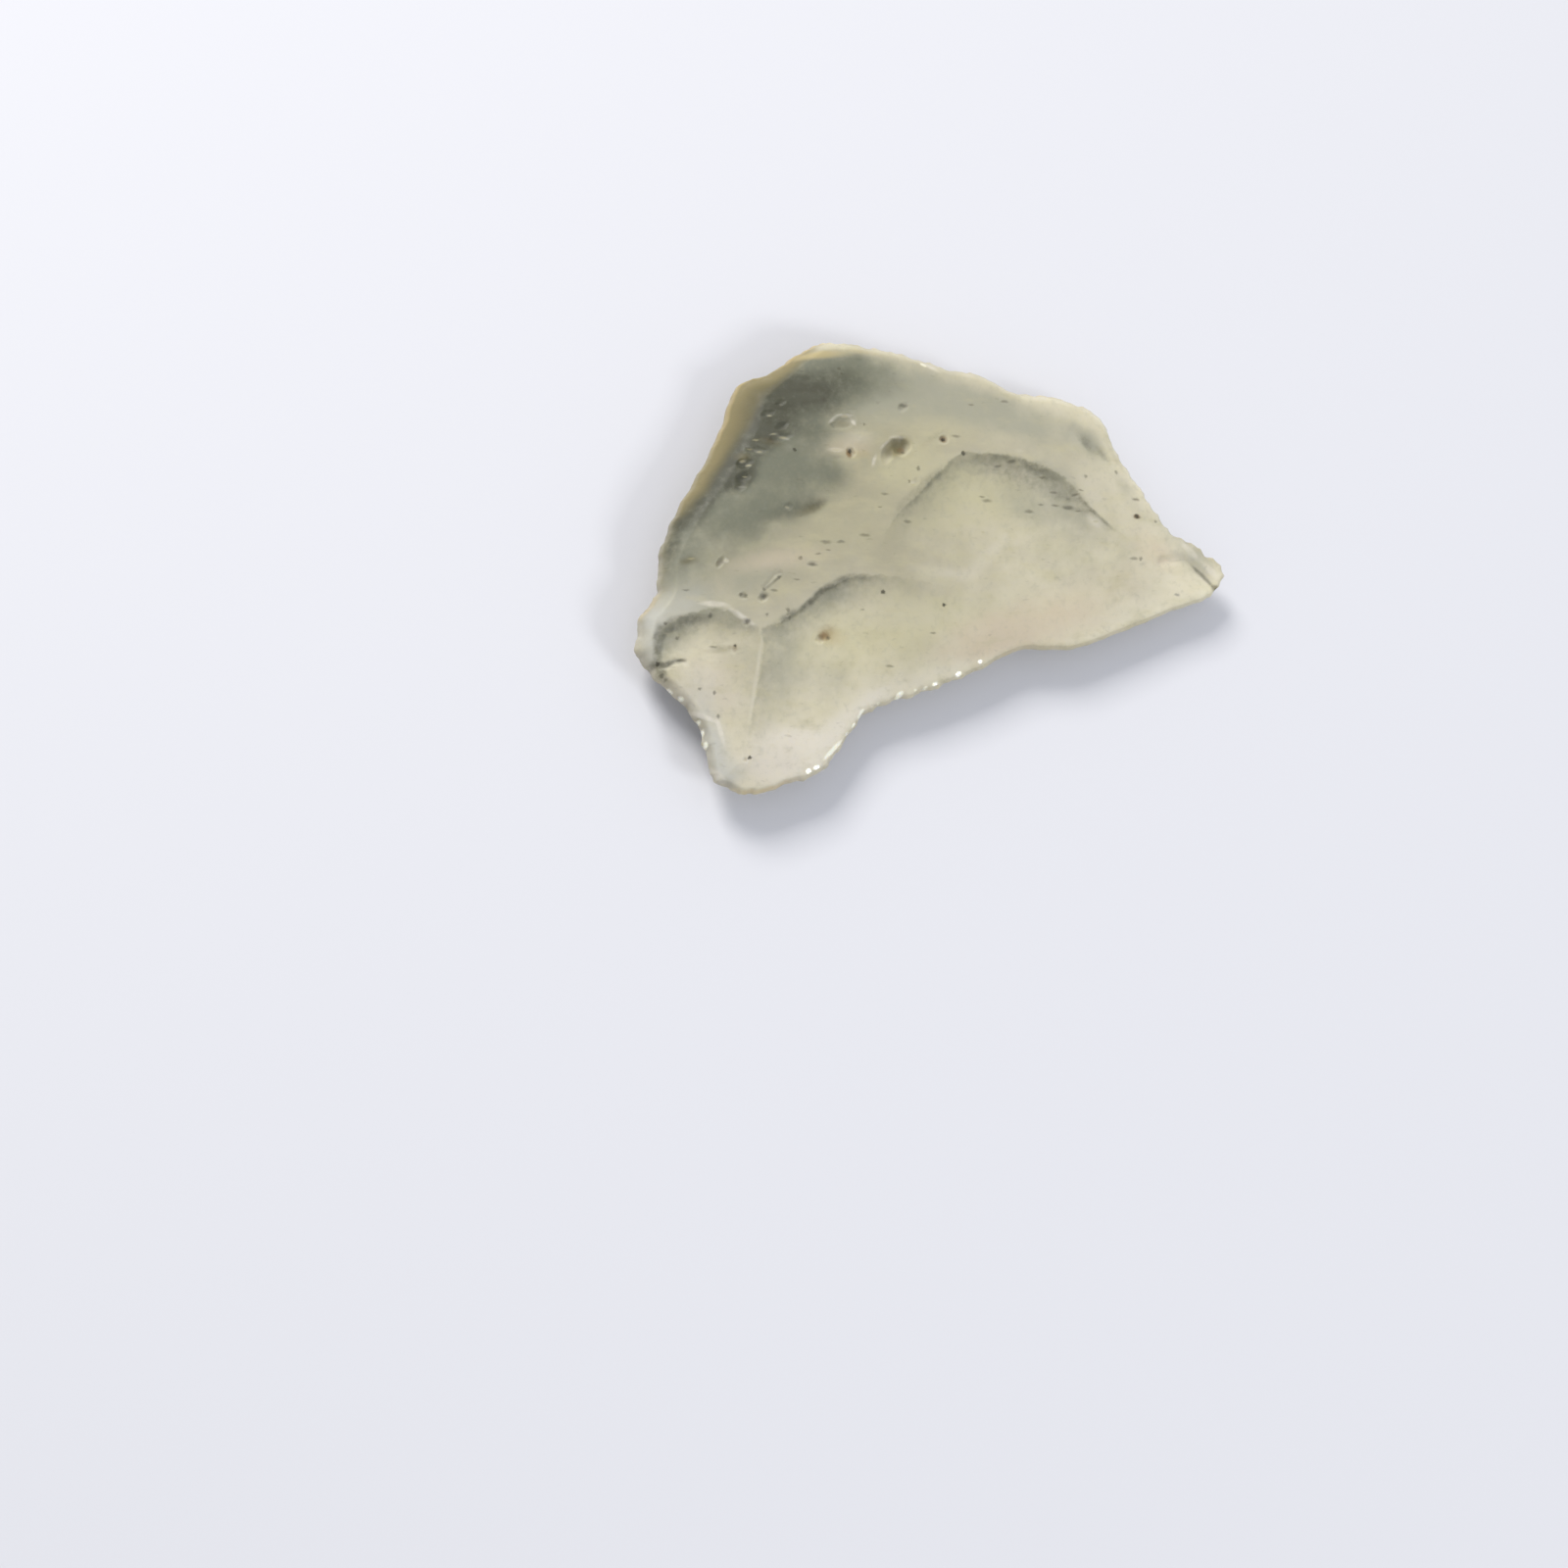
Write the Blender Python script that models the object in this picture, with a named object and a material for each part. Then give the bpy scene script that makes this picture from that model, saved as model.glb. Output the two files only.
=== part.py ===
"""A raw, wind-worn flake of desert glass, lying on the flat spot of its underside.

The stone is one solid. Its outline runs round the thin rim, and two sheets span that rim:
the upper face, with three big flake scars, a worn plateau and pits, and the rounded belly.
Shapes are worked out in millimetres and placed in metres: +X is the stone's length,
+Z is up, and the origin is under the middle of its box, on the surface that it lies on.
"""

import math

import bmesh
import bpy
import numpy as np
from mathutils import noise

MM = 0.001

# Driving dimensions, in millimetres
LENGTH = 32.9
WIDTH = 21.3
RIM_HEIGHT = 1.72
CROWN_RISE = 2.28
BELLY_DROP = 2.37

# Fineness of the sheets, how they join, and the share of their faces that the solid keeps
CELLS = 170
CROWDING = 1.3
RIM_STEPS = 1200
MERGE_GAP = 0.002
SNAP_TO_TABLE = 0.004
KEPT_SHARE = 0.075

# The rim seen from above, anticlockwise from the right shoulder
OUTLINE = [
    (13.6, -1.4), (13.5, 0.9), (11.7, 2.8), (9.2, 4.2), (7.8, 5.7), (6.2, 6.7), (4.9, 7.8),
    (2.2, 9.6), (0.2, 10.5), (-1.4, 10.4), (-3.1, 10.05), (-4.9, 10.1), (-6.9, 8.3),
    (-8.2, 7.2), (-10.5, 5.6), (-11.9, 4.5), (-13.4, 2.9), (-14.0, 1.6), (-15.5, 0.7),
    (-16.4, -0.7), (-16.2, -2.3), (-15.4, -4.2), (-15.1, -5.5), (-15.4, -7.4), (-15.5, -8.8),
    (-14.6, -9.8), (-11.7, -10.5), (-9.9, -10.6), (-8.2, -9.8), (-6.5, -8.9), (-2.4, -9.1),
    (1.1, -9.1), (3.0, -9.0), (5.9, -10.1), (9.0, -10.4), (12.2, -10.5), (15.6, -10.5),
    (16.4, -10.0), (15.7, -7.8), (14.7, -6.7), (14.1, -4.1),
]
SHEET_CENTRE = (-3.5, -1.5)

# The rim line's slow waves up and down: height, turn per millimetre, phase
RIM_WAVE_X = (0.10, 0.30, 0.6)
RIM_WAVE_Y = (0.07, 0.43, -0.8)

# Small chips along the edge: shortest and longest, depth, and how they widen the rounding
CHIP_LENGTHS = (0.7, 1.9)
CHIP_DEPTH = 0.20
CHIP_WIDENING = 0.35

# How the rim rounds over, by direction from the sheet's centre in degrees: height of the
# rounded part, its width, the slope that goes on inward, and how deeply the edge is nibbled
RIM_STATIONS = [
    (-175, 0.75, 0.60, 0.40, 0.9), (-150, 0.45, 0.40, 0.40, 0.9), (-132, 0.40, 0.35, 0.50, 0.4),
    (-110, 0.42, 0.40, 0.50, 1.0), (-75, 0.42, 0.45, 0.50, 1.0), (-50, 0.34, 0.60, 0.50, 0.3),
    (-28, 0.34, 0.50, 0.45, 0.3), (-10, 0.80, 0.55, 0.30, 0.5), (15, 1.05, 0.55, 0.24, 0.8),
    (45, 1.20, 0.55, 0.20, 1.0), (75, 1.40, 0.60, 0.20, 0.5), (100, 1.55, 0.90, 0.20, 0.3),
    (130, 1.60, 1.40, 0.20, 0.3), (155, 1.30, 1.00, 0.28, 0.8),
]

# Crests of the flake scars on the upper face: x, y, depth of the fall, width of the fall
LEFT_CREST = [
    (-17.5, -2.6, 0.30, 0.5), (-16.3, -1.6, 0.50, 0.5), (-15.5, -0.7, 0.80, 0.45),
    (-14.5, -0.1, 0.85, 0.5), (-13.4, 0.0, 0.80, 0.5), (-12.0, -0.3, 0.62, 0.6),
    (-10.8, -1.0, 0.50, 0.7), (-10.1, -2.4, 0.38, 1.0), (-10.6, -3.6, 0.34, 1.2),
    (-11.9, -5.4, 0.30, 1.3), (-13.0, -7.1, 0.20, 1.3), (-13.9, -8.4, 0.08, 1.2),
    (-14.8, -10.4, 0.0, 1.2),
]
MIDDLE_CREST = [
    (-14.8, -10.4, 0.0, 1.5), (-13.9, -8.4, 0.12, 1.5), (-13.0, -7.1, 0.32, 1.5),
    (-11.9, -5.4, 0.50, 1.4), (-10.6, -3.6, 0.60, 1.3), (-10.1, -2.4, 0.66, 1.1),
    (-8.4, -2.2, 0.70, 0.9), (-6.3, -1.6, 0.76, 0.8), (-4.3, -1.7, 0.66, 0.8),
    (-1.7, -2.8, 0.42, 0.9), (0.4, -3.8, 0.24, 1.1), (2.4, -5.0, 0.10, 1.4),
    (4.3, -6.6, 0.0, 1.6),
]
RIGHT_CREST = [
    (-2.8, -1.9, 0.0, 1.4), (-1.4, 0.0, 0.30, 1.3), (1.1, 1.1, 0.52, 1.2),
    (2.7, 1.7, 0.70, 1.0), (4.4, 2.3, 0.80, 0.9), (6.1, 1.6, 0.82, 0.8),
    (7.8, 0.5, 0.74, 0.8), (9.2, -0.7, 0.62, 0.8), (10.1, -2.2, 0.48, 0.8),
    (10.8, -4.1, 0.30, 0.8), (11.5, -5.6, 0.12, 0.9), (12.4, -7.4, 0.0, 1.0),
]

# Crests of the three broad scars on the belly
BELLY_LEFT_CREST = [
    (-8.0, 9.0, 0.0, 1.8), (-8.6, 5.0, 0.35, 1.6), (-9.6, 1.0, 0.45, 1.5),
    (-10.4, -3.0, 0.35, 1.6), (-10.0, -7.0, 0.0, 1.8),
]
BELLY_RIGHT_CREST = [
    (5.0, 8.0, 0.0, 1.8), (6.6, 4.0, 0.40, 1.6), (7.4, 0.0, 0.50, 1.5),
    (6.6, -4.0, 0.40, 1.6), (4.4, -8.4, 0.0, 1.8),
]
BELLY_TOP_CREST = [
    (-7.0, 8.6, 0.0, 1.5), (-3.6, 5.6, 0.35, 1.4), (0.2, 4.6, 0.45, 1.3),
    (3.8, 5.4, 0.30, 1.4), (5.6, 7.4, 0.0, 1.5),
]
# Beyond the outline, where the open sides of the scars are closed, and how they fade there
FAR = 30.0
OPEN_END_FADE = 3.0

# Shallow grooves, one beside the lip at the sharp end: their line, depth and width
GROOVES = [
    ([(13.9, -7.9), (14.6, -8.5), (15.0, -9.4), (15.5, -10.4)], 0.20, 0.36),
    ([(11.2, 0.8), (12.0, -0.5), (12.7, -1.5)], 0.12, 0.45),
]
GROOVE_START = 0.4

# Bigger pits on the upper face: x, y, length, width, turn in degrees, depth
PITS = [
    (0.9, 3.6, 1.6, 1.1, -20, 0.30), (-1.5, 6.1, 1.3, 0.8, -15, 0.20),
    (2.2, 5.5, 1.0, 0.7, 5, 0.12), (-1.7, 4.3, 0.8, 0.7, 0, 0.16),
    (3.5, 3.1, 0.8, 0.7, 20, 0.18), (-6.9, -3.95, 0.8, 0.7, 0, 0.14),
    (-4.3, 7.9, 1.3, 0.7, -30, 0.14), (-4.5, 6.7, 1.5, 0.7, -30, 0.14),
    (-5.6, 7.2, 1.1, 0.6, -30, 0.12), (-6.4, 6.4, 1.4, 0.7, -35, 0.16),
    (-7.3, 5.8, 1.2, 0.7, -35, 0.14), (-6.1, 2.9, 1.2, 0.8, -20, 0.08),
    (-10.7, 1.7, 1.0, 0.7, 30, 0.12),
]
PIT_LIP = 0.16
PIT_LIP_PLACE = 1.15
PIT_LIP_WIDTH = 0.22

# Crown of the upper face, middle of the belly, and how each falls away from there
CROWN = (-3.0, 3.0)
CROWN_FALL = (0.0022, 0.0072)
BELLY_MIDDLE = (-1.0, -1.2)
BELLY_REACH = (15.5, 9.6)
BELLY_LOSS = 0.75
BELLY_POWER = 1.3

# The belly's edge, as shares of the upper edge's rounding: height, width
BELLY_EDGE = (0.55, 0.8)

# Undulations of the faces: wavelength, height, noise seed
FACE_SWELLS = [(4.2, 0.07, 3.0), (1.5, 0.03, 9.0)]
BELLY_SWELLS = [(6.5, 0.16, 21.0)]

# How far the arris between a face and its edge is worn round
FACE_WEAR = 0.30
BELLY_WEAR = 0.20

GLASS_COLOUR = (0.56, 0.53, 0.40, 1.0)
GLASS_ROUGHNESS = 0.42
GLASS_TRANSMISSION = 0.5
GLASS_IOR = 1.46


def clear_scene():
    for old in list(bpy.data.objects):
        bpy.data.objects.remove(old)


def closed_curve(points, steps):
    """A smooth closed curve through the points, in even steps of its length."""
    here = np.array(points, float)
    ahead = np.roll(here, -1, axis=0)
    span = np.linalg.norm(ahead - here, axis=1)[:, None]
    slope = (ahead - here) / span
    span_back = np.roll(span, 1, axis=0)
    slope_back = np.roll(slope, 1, axis=0)
    tangent = (slope_back * span + slope * span_back) / (span + span_back)
    t = np.linspace(0, 1, 40, endpoint=False)[None, :, None]
    start, end = here[:, None], ahead[:, None]
    leave, arrive = (tangent * span)[:, None], (np.roll(tangent, -1, axis=0) * span)[:, None]
    fine = (
        (2 * t**3 - 3 * t**2 + 1) * start + (t**3 - 2 * t**2 + t) * leave
        + (3 * t**2 - 2 * t**3) * end + (t**3 - t**2) * arrive
    ).reshape(-1, 2)
    return even_steps(fine, steps)


def even_steps(loop, steps):
    """The same closed loop with its points evenly spaced."""
    closed = np.vstack([loop, loop[:1]])
    travelled = np.r_[0, np.cumsum(np.linalg.norm(np.diff(closed, axis=0), axis=1))]
    wanted = np.linspace(0, travelled[-1], steps, endpoint=False)
    return np.c_[np.interp(wanted, travelled, closed[:, 0]),
                 np.interp(wanted, travelled, closed[:, 1])]


def station_values(points):
    """Rounding height and width, inward slope and nibble strength towards each point."""
    turn = np.degrees(np.arctan2(points[:, 1] - SHEET_CENTRE[1], points[:, 0] - SHEET_CENTRE[0]))
    table = np.array(RIM_STATIONS)
    return [np.interp(turn, table[:, 0], table[:, k], period=360) for k in (1, 2, 3, 4)]


def nibbles(steps, perimeter):
    """Along the rim: 0 at each sharp point that a chip has left, 1 in the middle of a chip."""
    dice = np.random.default_rng(13)
    ends = [0.0]
    while ends[-1] < perimeter:
        ends.append(ends[-1] + dice.uniform(*CHIP_LENGTHS))
    ends = np.array(ends) * perimeter / ends[-1]
    deep = dice.uniform(0.35, 1.0, len(ends))
    along = np.arange(steps) * perimeter / steps
    chip = np.searchsorted(ends, along, side="right") - 1
    share = (along - ends[chip]) / (ends[chip + 1] - ends[chip])
    return 4 * share * (1 - share) * deep[chip]


def make_rim():
    """The even rim, the nibbled one stretched to the stated size, and its chip pattern."""
    smooth = closed_curve(OUTLINE, RIM_STEPS)
    perimeter = np.linalg.norm(smooth - np.roll(smooth, 1, axis=0), axis=1).sum()
    chips = nibbles(RIM_STEPS, perimeter)
    along = np.roll(smooth, -1, axis=0) - np.roll(smooth, 1, axis=0)
    along /= np.linalg.norm(along, axis=1)[:, None]
    inward = np.c_[-along[:, 1], along[:, 0]]
    strength = station_values(smooth)[3]
    rim = smooth + inward * (CHIP_DEPTH * chips * strength)[:, None]
    low, high = rim.min(axis=0), rim.max(axis=0)
    rim = (rim - (low + high) / 2) * np.array([LENGTH, WIDTH]) / (high - low)
    return smooth, rim, chips * strength


def nearest_on_line(points, line):
    """Distance to a line of densely placed points, and the index of the nearest one."""
    distance = np.empty(len(points))
    index = np.empty(len(points), int)
    for first in range(0, len(points), 4000):
        part = slice(first, first + 4000)
        gap = np.linalg.norm(points[part, None] - line[None], axis=2)
        index[part] = gap.argmin(axis=1)
        distance[part] = gap.min(axis=1)
    return distance, index


def dense_line(points, step=0.12):
    """An open line of points with its other columns, filled in to short even steps."""
    rows = np.array(points, float)
    travelled = np.r_[0, np.cumsum(np.linalg.norm(np.diff(rows[:, :2], axis=0), axis=1))]
    wanted = np.arange(0, travelled[-1] + step, step)
    return np.stack([np.interp(wanted, travelled, column) for column in rows.T], axis=1)


def inside(points, polygon):
    """Whether each point is inside the polygon, by counting the sides that it looks across."""
    x, y = points[:, 0], points[:, 1]
    odd = np.zeros(len(points), bool)
    for (ax, ay), (bx, by) in zip(polygon, polygon[1:] + polygon[:1]):
        spans = (ay > y) != (by > y)
        reach = (bx - ax) * (y - ay) / (by - ay if by != ay else 1.0) + ax
        odd ^= spans & (x < reach)
    return odd


def scar_fall(points, crest, far_side):
    """How far a flake scar lies below its crest: steep beside it, then flattening out.
    Where the scar is open, past the crest's ends, it fades into the face beside it."""
    line = dense_line(crest)
    corners = [tuple(row[:2]) for row in crest] + far_side
    within = inside(points, corners)
    gap = np.linalg.norm(points[:, None] - line[None, :, :2], axis=2) + 0.02
    pull = gap**-4
    depth = (pull * line[:, 2]).sum(axis=1) / pull.sum(axis=1)
    width = (pull * line[:, 3]).sum(axis=1) / pull.sum(axis=1)
    fall = depth * (1 - np.exp(-gap.min(axis=1) / width))
    open_side = dense_line([corners[len(crest) - 1], *far_side, corners[0]], 0.25)
    share = np.clip(nearest_on_line(points, open_side)[0] / OPEN_END_FADE, 0, 1)
    return np.where(within, fall * share * share * (3 - 2 * share), 0.0)


def groove_fall(points, line, depth, width):
    """A shallow groove with round shoulders."""
    distance, _ = nearest_on_line(points, dense_line(line, 0.05))
    return depth * np.exp(-((distance / width) ** 2))


def pit_fall(points, pit):
    """A round-bottomed pit with a faint raised lip."""
    x, y, length, width, turn, depth = pit
    c, s = math.cos(math.radians(turn)), math.sin(math.radians(turn))
    dx, dy = points[:, 0] - x, points[:, 1] - y
    u, v = (c * dx + s * dy) * 2 / length, (c * dy - s * dx) * 2 / width
    reach = np.hypot(u, v)
    bowl = np.clip(1 - reach**2, 0, None)
    lip = np.exp(-(((reach - PIT_LIP_PLACE) / PIT_LIP_WIDTH) ** 2))
    return depth * (bowl - PIT_LIP * lip)


def soft_lower(a, b, blend):
    """The lower of two surfaces, with the arris between them worn round."""
    share = np.clip(0.5 + (b - a) / (2 * blend), 0, 1)
    return b + (a - b) * share - blend * share * (1 - share)


def undulation(points, swells):
    """Gentle, even undulations, each of about its own wavelength and height."""
    total = np.zeros(len(points))
    for size, height, seed in swells:
        wave = [noise.noise((x / size + seed, y / size - seed, seed)) for x, y in points]
        total += height * np.array(wave)
    return total


def rounded_rim(place, height, width, rise):
    """Height beside the rim: a quarter round, wider where a chip is out, then a slow rise."""
    widened = width + CHIP_WIDENING * (place.chips - 0.5)
    share = np.clip(place.from_rim / widened, 0, 1)
    return height * np.sqrt(1 - (1 - share) ** 2) + rise * share * place.from_smooth


def rim_level(points):
    """Height of the rim line, which wanders a little up and down."""
    level = np.full(len(points), RIM_HEIGHT)
    for column, (height, turn, phase) in enumerate((RIM_WAVE_X, RIM_WAVE_Y)):
        level += height * np.sin(turn * points[:, column] + phase)
    return level


def upper_face(place):
    """Height of the upper face above the table."""
    points = place.points
    height, width, slope, _ = station_values(points)
    dx, dy = points[:, 0] - CROWN[0], points[:, 1] - CROWN[1]
    face = CROWN_RISE - CROWN_FALL[0] * dx**2 - CROWN_FALL[1] * dy**2
    face += undulation(points, FACE_SWELLS)
    face -= scar_fall(points, LEFT_CREST, [(-FAR, -FAR), (-FAR, -2.6)])
    face -= scar_fall(points, MIDDLE_CREST, [(4.3, -FAR), (-14.8, -FAR)])
    face -= scar_fall(points, RIGHT_CREST, [(12.4, -FAR), (-2.8, -FAR)])
    edge = rounded_rim(place, height, width, slope)
    face = soft_lower(face, edge, FACE_WEAR)
    starting = np.clip(place.from_rim / GROOVE_START, 0, 1)
    for line, depth, width in GROOVES:
        face -= groove_fall(points, line, depth, width) * starting
    for pit in PITS:
        face -= pit_fall(points, pit)
    return rim_level(points) + np.clip(face, 0, None)


def belly(place):
    """Height of the underside above the table, which it meets in one flat spot."""
    points = place.points
    height, width, slope, _ = station_values(points)
    across = (points[:, 0] - BELLY_MIDDLE[0]) / BELLY_REACH[0]
    along = (points[:, 1] - BELLY_MIDDLE[1]) / BELLY_REACH[1]
    drop = BELLY_DROP * (1 - BELLY_LOSS * np.hypot(across, along) ** BELLY_POWER)
    drop += undulation(points, BELLY_SWELLS)
    drop -= scar_fall(points, BELLY_LEFT_CREST, [(-FAR, -7.0), (-FAR, 9.0)])
    drop -= scar_fall(points, BELLY_RIGHT_CREST, [(FAR, -8.4), (FAR, 8.0)])
    drop -= scar_fall(points, BELLY_TOP_CREST, [(5.6, FAR), (-7.0, FAR)])
    edge = rounded_rim(place, BELLY_EDGE[0] * height, BELLY_EDGE[1] * width, slope)
    drop = np.clip(soft_lower(drop, edge, BELLY_WEAR), 0, None)
    return np.clip(rim_level(points) - drop, 0, None)


def spread_over_outline(flat, rim):
    """Places of a square sheet's points once it is stretched over the outline."""
    u, v = flat[:, 0], flat[:, 1]
    ring = np.maximum(np.abs(u), np.abs(v))
    side = np.where(np.abs(u) >= np.abs(v), v / np.where(u == 0, 1, u), 0)
    turn = np.where(u < 0, math.pi, 0) + side * math.pi / 4
    steep = np.abs(v) > np.abs(u)
    lean = u / np.where(v == 0, 1, v)
    turn = np.where(steep, np.where(v > 0, 1, 3) * math.pi / 2 - lean * math.pi / 4, turn)
    place = (turn / (2 * math.pi)) % 1 * len(rim)
    index = np.floor(place).astype(int)
    part = (place - index)[:, None]
    on_rim = rim[index % len(rim)] * (1 - part) + rim[(index + 1) % len(rim)] * part
    # rings lie closer together near the rim, where the surface turns over
    ring = (1 - (1 - ring) ** CROWDING)[:, None]
    centre = np.array(SHEET_CENTRE)
    return centre + (on_rim - centre) * ring


class Place:
    """Points of the outline's sheet, their distances from its rim, and the chips there."""

    def __init__(self, flat, smooth, rim, chips):
        self.points = spread_over_outline(flat, rim)
        self.from_smooth, _ = nearest_on_line(self.points, smooth)
        self.from_rim, nearest = nearest_on_line(self.points, rim)
        self.from_rim[np.abs(flat).max(axis=1) > 1 - 1e-6] = 0
        self.chips = chips[nearest]


def make_sheet(mesh, outline, face):
    """One face of the stone: a fine grid spread over the outline and raised to its height."""
    made = bmesh.ops.create_grid(mesh, x_segments=CELLS, y_segments=CELLS, size=1)["verts"]
    place = Place(np.array([v.co[:2] for v in made]), *outline)
    for vert, (x, y), z in zip(made, place.points, face(place)):
        vert.co = (x * MM, y * MM, z * MM)


def glass_material():
    material = bpy.data.materials.new("desert_glass")
    material.use_nodes = True
    shader = material.node_tree.nodes["Principled BSDF"]
    shader.inputs["Base Color"].default_value = GLASS_COLOUR
    shader.inputs["Roughness"].default_value = GLASS_ROUGHNESS
    shader.inputs["Transmission Weight"].default_value = GLASS_TRANSMISSION
    shader.inputs["IOR"].default_value = GLASS_IOR
    return material


def thinned(stone):
    """The stone's mesh with fewer faces, most of them where the surface bends."""
    thin = stone.modifiers.new("fewer faces", "DECIMATE")
    thin.ratio = KEPT_SHARE
    bpy.context.view_layer.update()
    evaluated = stone.evaluated_get(bpy.context.evaluated_depsgraph_get())
    mesh = bpy.data.meshes.new_from_object(evaluated)
    stone.modifiers.remove(thin)
    return mesh


def fit_to_size(mesh):
    """Stretches the solid by a hair to its stated size, over the origin and on the table."""
    here = np.array([v.co for v in mesh.vertices])
    low, high = here.min(axis=0), here.max(axis=0)
    middle = (low + high) / 2
    stretch = np.array([LENGTH, WIDTH]) * MM / (high - low)[:2]
    here[:, :2] = (here - middle)[:, :2] * stretch
    here[here[:, 2] < SNAP_TO_TABLE * MM, 2] = 0
    mesh.vertices.foreach_set("co", here.ravel())
    mesh.update()


def make_stone():
    outline = make_rim()
    work = bmesh.new()
    make_sheet(work, outline, upper_face)
    make_sheet(work, outline, belly)
    bmesh.ops.remove_doubles(work, verts=work.verts, dist=MERGE_GAP * MM)
    bmesh.ops.recalc_face_normals(work, faces=work.faces)
    mesh = bpy.data.meshes.new("desert_glass")
    work.to_mesh(mesh)
    work.free()
    mesh.materials.append(glass_material())
    stone = bpy.data.objects.new("desert_glass", mesh)
    bpy.context.scene.collection.objects.link(stone)
    stone.data = thinned(stone)
    fit_to_size(stone.data)
    stone.data.shade_smooth()


clear_scene()
make_stone()
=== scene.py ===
# %% [markdown]
# # A raw flake of desert glass
#
# Desert glass is sand that melted in one flash and froze to natural glass. This piece is a thin
# flake, about as long as a thumb joint. Wind-blown grains have ground its skin to a silky matt,
# and the milky glass under it lets some light through.
#
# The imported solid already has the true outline, thickness and scars, with few faces. The cells
# below build the same stone again with a fine surface, give it its finish, and set the camera
# and the light. Lengths in the cells are in millimetres until they go into a mesh.

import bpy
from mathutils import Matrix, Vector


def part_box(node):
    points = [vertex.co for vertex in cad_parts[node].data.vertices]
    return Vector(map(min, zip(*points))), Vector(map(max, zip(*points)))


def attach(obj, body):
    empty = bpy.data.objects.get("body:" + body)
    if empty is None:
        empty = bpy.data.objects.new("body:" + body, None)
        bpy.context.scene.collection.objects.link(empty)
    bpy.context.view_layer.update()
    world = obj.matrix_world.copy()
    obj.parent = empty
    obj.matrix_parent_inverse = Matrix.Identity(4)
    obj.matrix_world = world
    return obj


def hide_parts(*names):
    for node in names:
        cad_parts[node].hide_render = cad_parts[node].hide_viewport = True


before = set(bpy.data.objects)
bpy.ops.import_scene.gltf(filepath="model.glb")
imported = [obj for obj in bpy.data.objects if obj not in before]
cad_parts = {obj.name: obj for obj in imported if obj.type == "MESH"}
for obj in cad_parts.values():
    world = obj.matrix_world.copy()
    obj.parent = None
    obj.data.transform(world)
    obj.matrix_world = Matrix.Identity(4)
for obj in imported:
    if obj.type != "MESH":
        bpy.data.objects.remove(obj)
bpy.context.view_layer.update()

# %% [markdown]
# ## The camera
#
# The stone's known size and its outline in the photograph fix where the camera stood: about
# 150 mm away, looking steeply down, with the stone's length turned about 25 degrees in the
# frame. Placing the camera by its direction and its up vector keeps those numbers readable.

# %% Camera
import math

import bmesh
import bpy
import numpy as np
from mathutils import Matrix, Vector, kdtree, noise

MM = 0.001
PHOTO_SIDE = 1600
FOCAL_PIXELS = 2850
SENSOR = 36
CLIP_START = 0.01
RIM_HEIGHT = 1.72

# Its place in mm, the direction from the picture back to it, and its up direction
CAMERA_PLACE = Vector((-56.345, -13.872, 140.265 + RIM_HEIGHT))
CAMERA_BACK = Vector((-0.30106, -0.02468, 0.95328)).normalized()
CAMERA_UP = Vector((0.39522, 0.90654, 0.14829))


def make_camera():
    data = bpy.data.cameras.new("camera")
    data.sensor_width = SENSOR
    data.lens = FOCAL_PIXELS / PHOTO_SIDE * SENSOR
    data.clip_start = CLIP_START
    camera = bpy.data.objects.new("camera", data)
    bpy.context.scene.collection.objects.link(camera)
    right = CAMERA_UP.cross(CAMERA_BACK).normalized()
    up = CAMERA_BACK.cross(right)
    turn = Matrix((right, up, CAMERA_BACK)).transposed()
    camera.matrix_world = Matrix.Translation(CAMERA_PLACE * MM) @ turn.to_4x4()
    bpy.context.scene.camera = camera
    return turn


camera_turn = make_camera()
print("camera is", round(CAMERA_PLACE.length), "mm from the table under the stone's middle")

# %% [markdown]
# ## The outline
#
# The stone is read as one closed rim line that a pencil could follow round its thin edge. A
# smooth curve through a few dozen points gives its bays and corners. Small chips have nibbled
# that line all along, in two sizes: the larger ones are on the solid too, and the finer ones
# are added here.

# %% Outline
LENGTH = 32.9
WIDTH = 21.3
OUTLINE = [
    (13.6, -1.4), (13.5, 0.9), (11.7, 2.8), (9.2, 4.2), (7.8, 5.7), (6.2, 6.7), (4.9, 7.8),
    (2.2, 9.6), (0.2, 10.5), (-1.4, 10.4), (-3.1, 10.05), (-4.9, 10.1), (-6.9, 8.3),
    (-8.2, 7.2), (-10.5, 5.6), (-11.9, 4.5), (-13.4, 2.9), (-14.0, 1.6), (-15.5, 0.7),
    (-16.4, -0.7), (-16.2, -2.3), (-15.4, -4.2), (-15.1, -5.5), (-15.4, -7.4), (-15.5, -8.8),
    (-14.6, -9.8), (-11.7, -10.5), (-9.9, -10.6), (-8.2, -9.8), (-6.5, -8.9), (-2.4, -9.1),
    (1.1, -9.1), (3.0, -9.0), (5.9, -10.1), (9.0, -10.4), (12.2, -10.5), (15.6, -10.5),
    (16.4, -10.0), (15.7, -7.8), (14.7, -6.7), (14.1, -4.1),
]
SHEET_CENTRE = (-3.5, -1.5)
RIM_STEPS = 2400
print(len(OUTLINE), "points draw the outline")

# %% Chips and rounding
# Seed, shortest and longest chip, and depth
LARGE_CHIPS = (13, 0.7, 1.9, 0.27)
FINE_CHIPS = (29, 0.25, 0.65, 0.07)
KNOBS = (43, 0.35, 0.95, 0.24)

# How deep single chips are beside the deepest, and how worn their ends are
CHIP_SHARES = (0.35, 1.0)
CHIP_WEAR = 1.5

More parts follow.
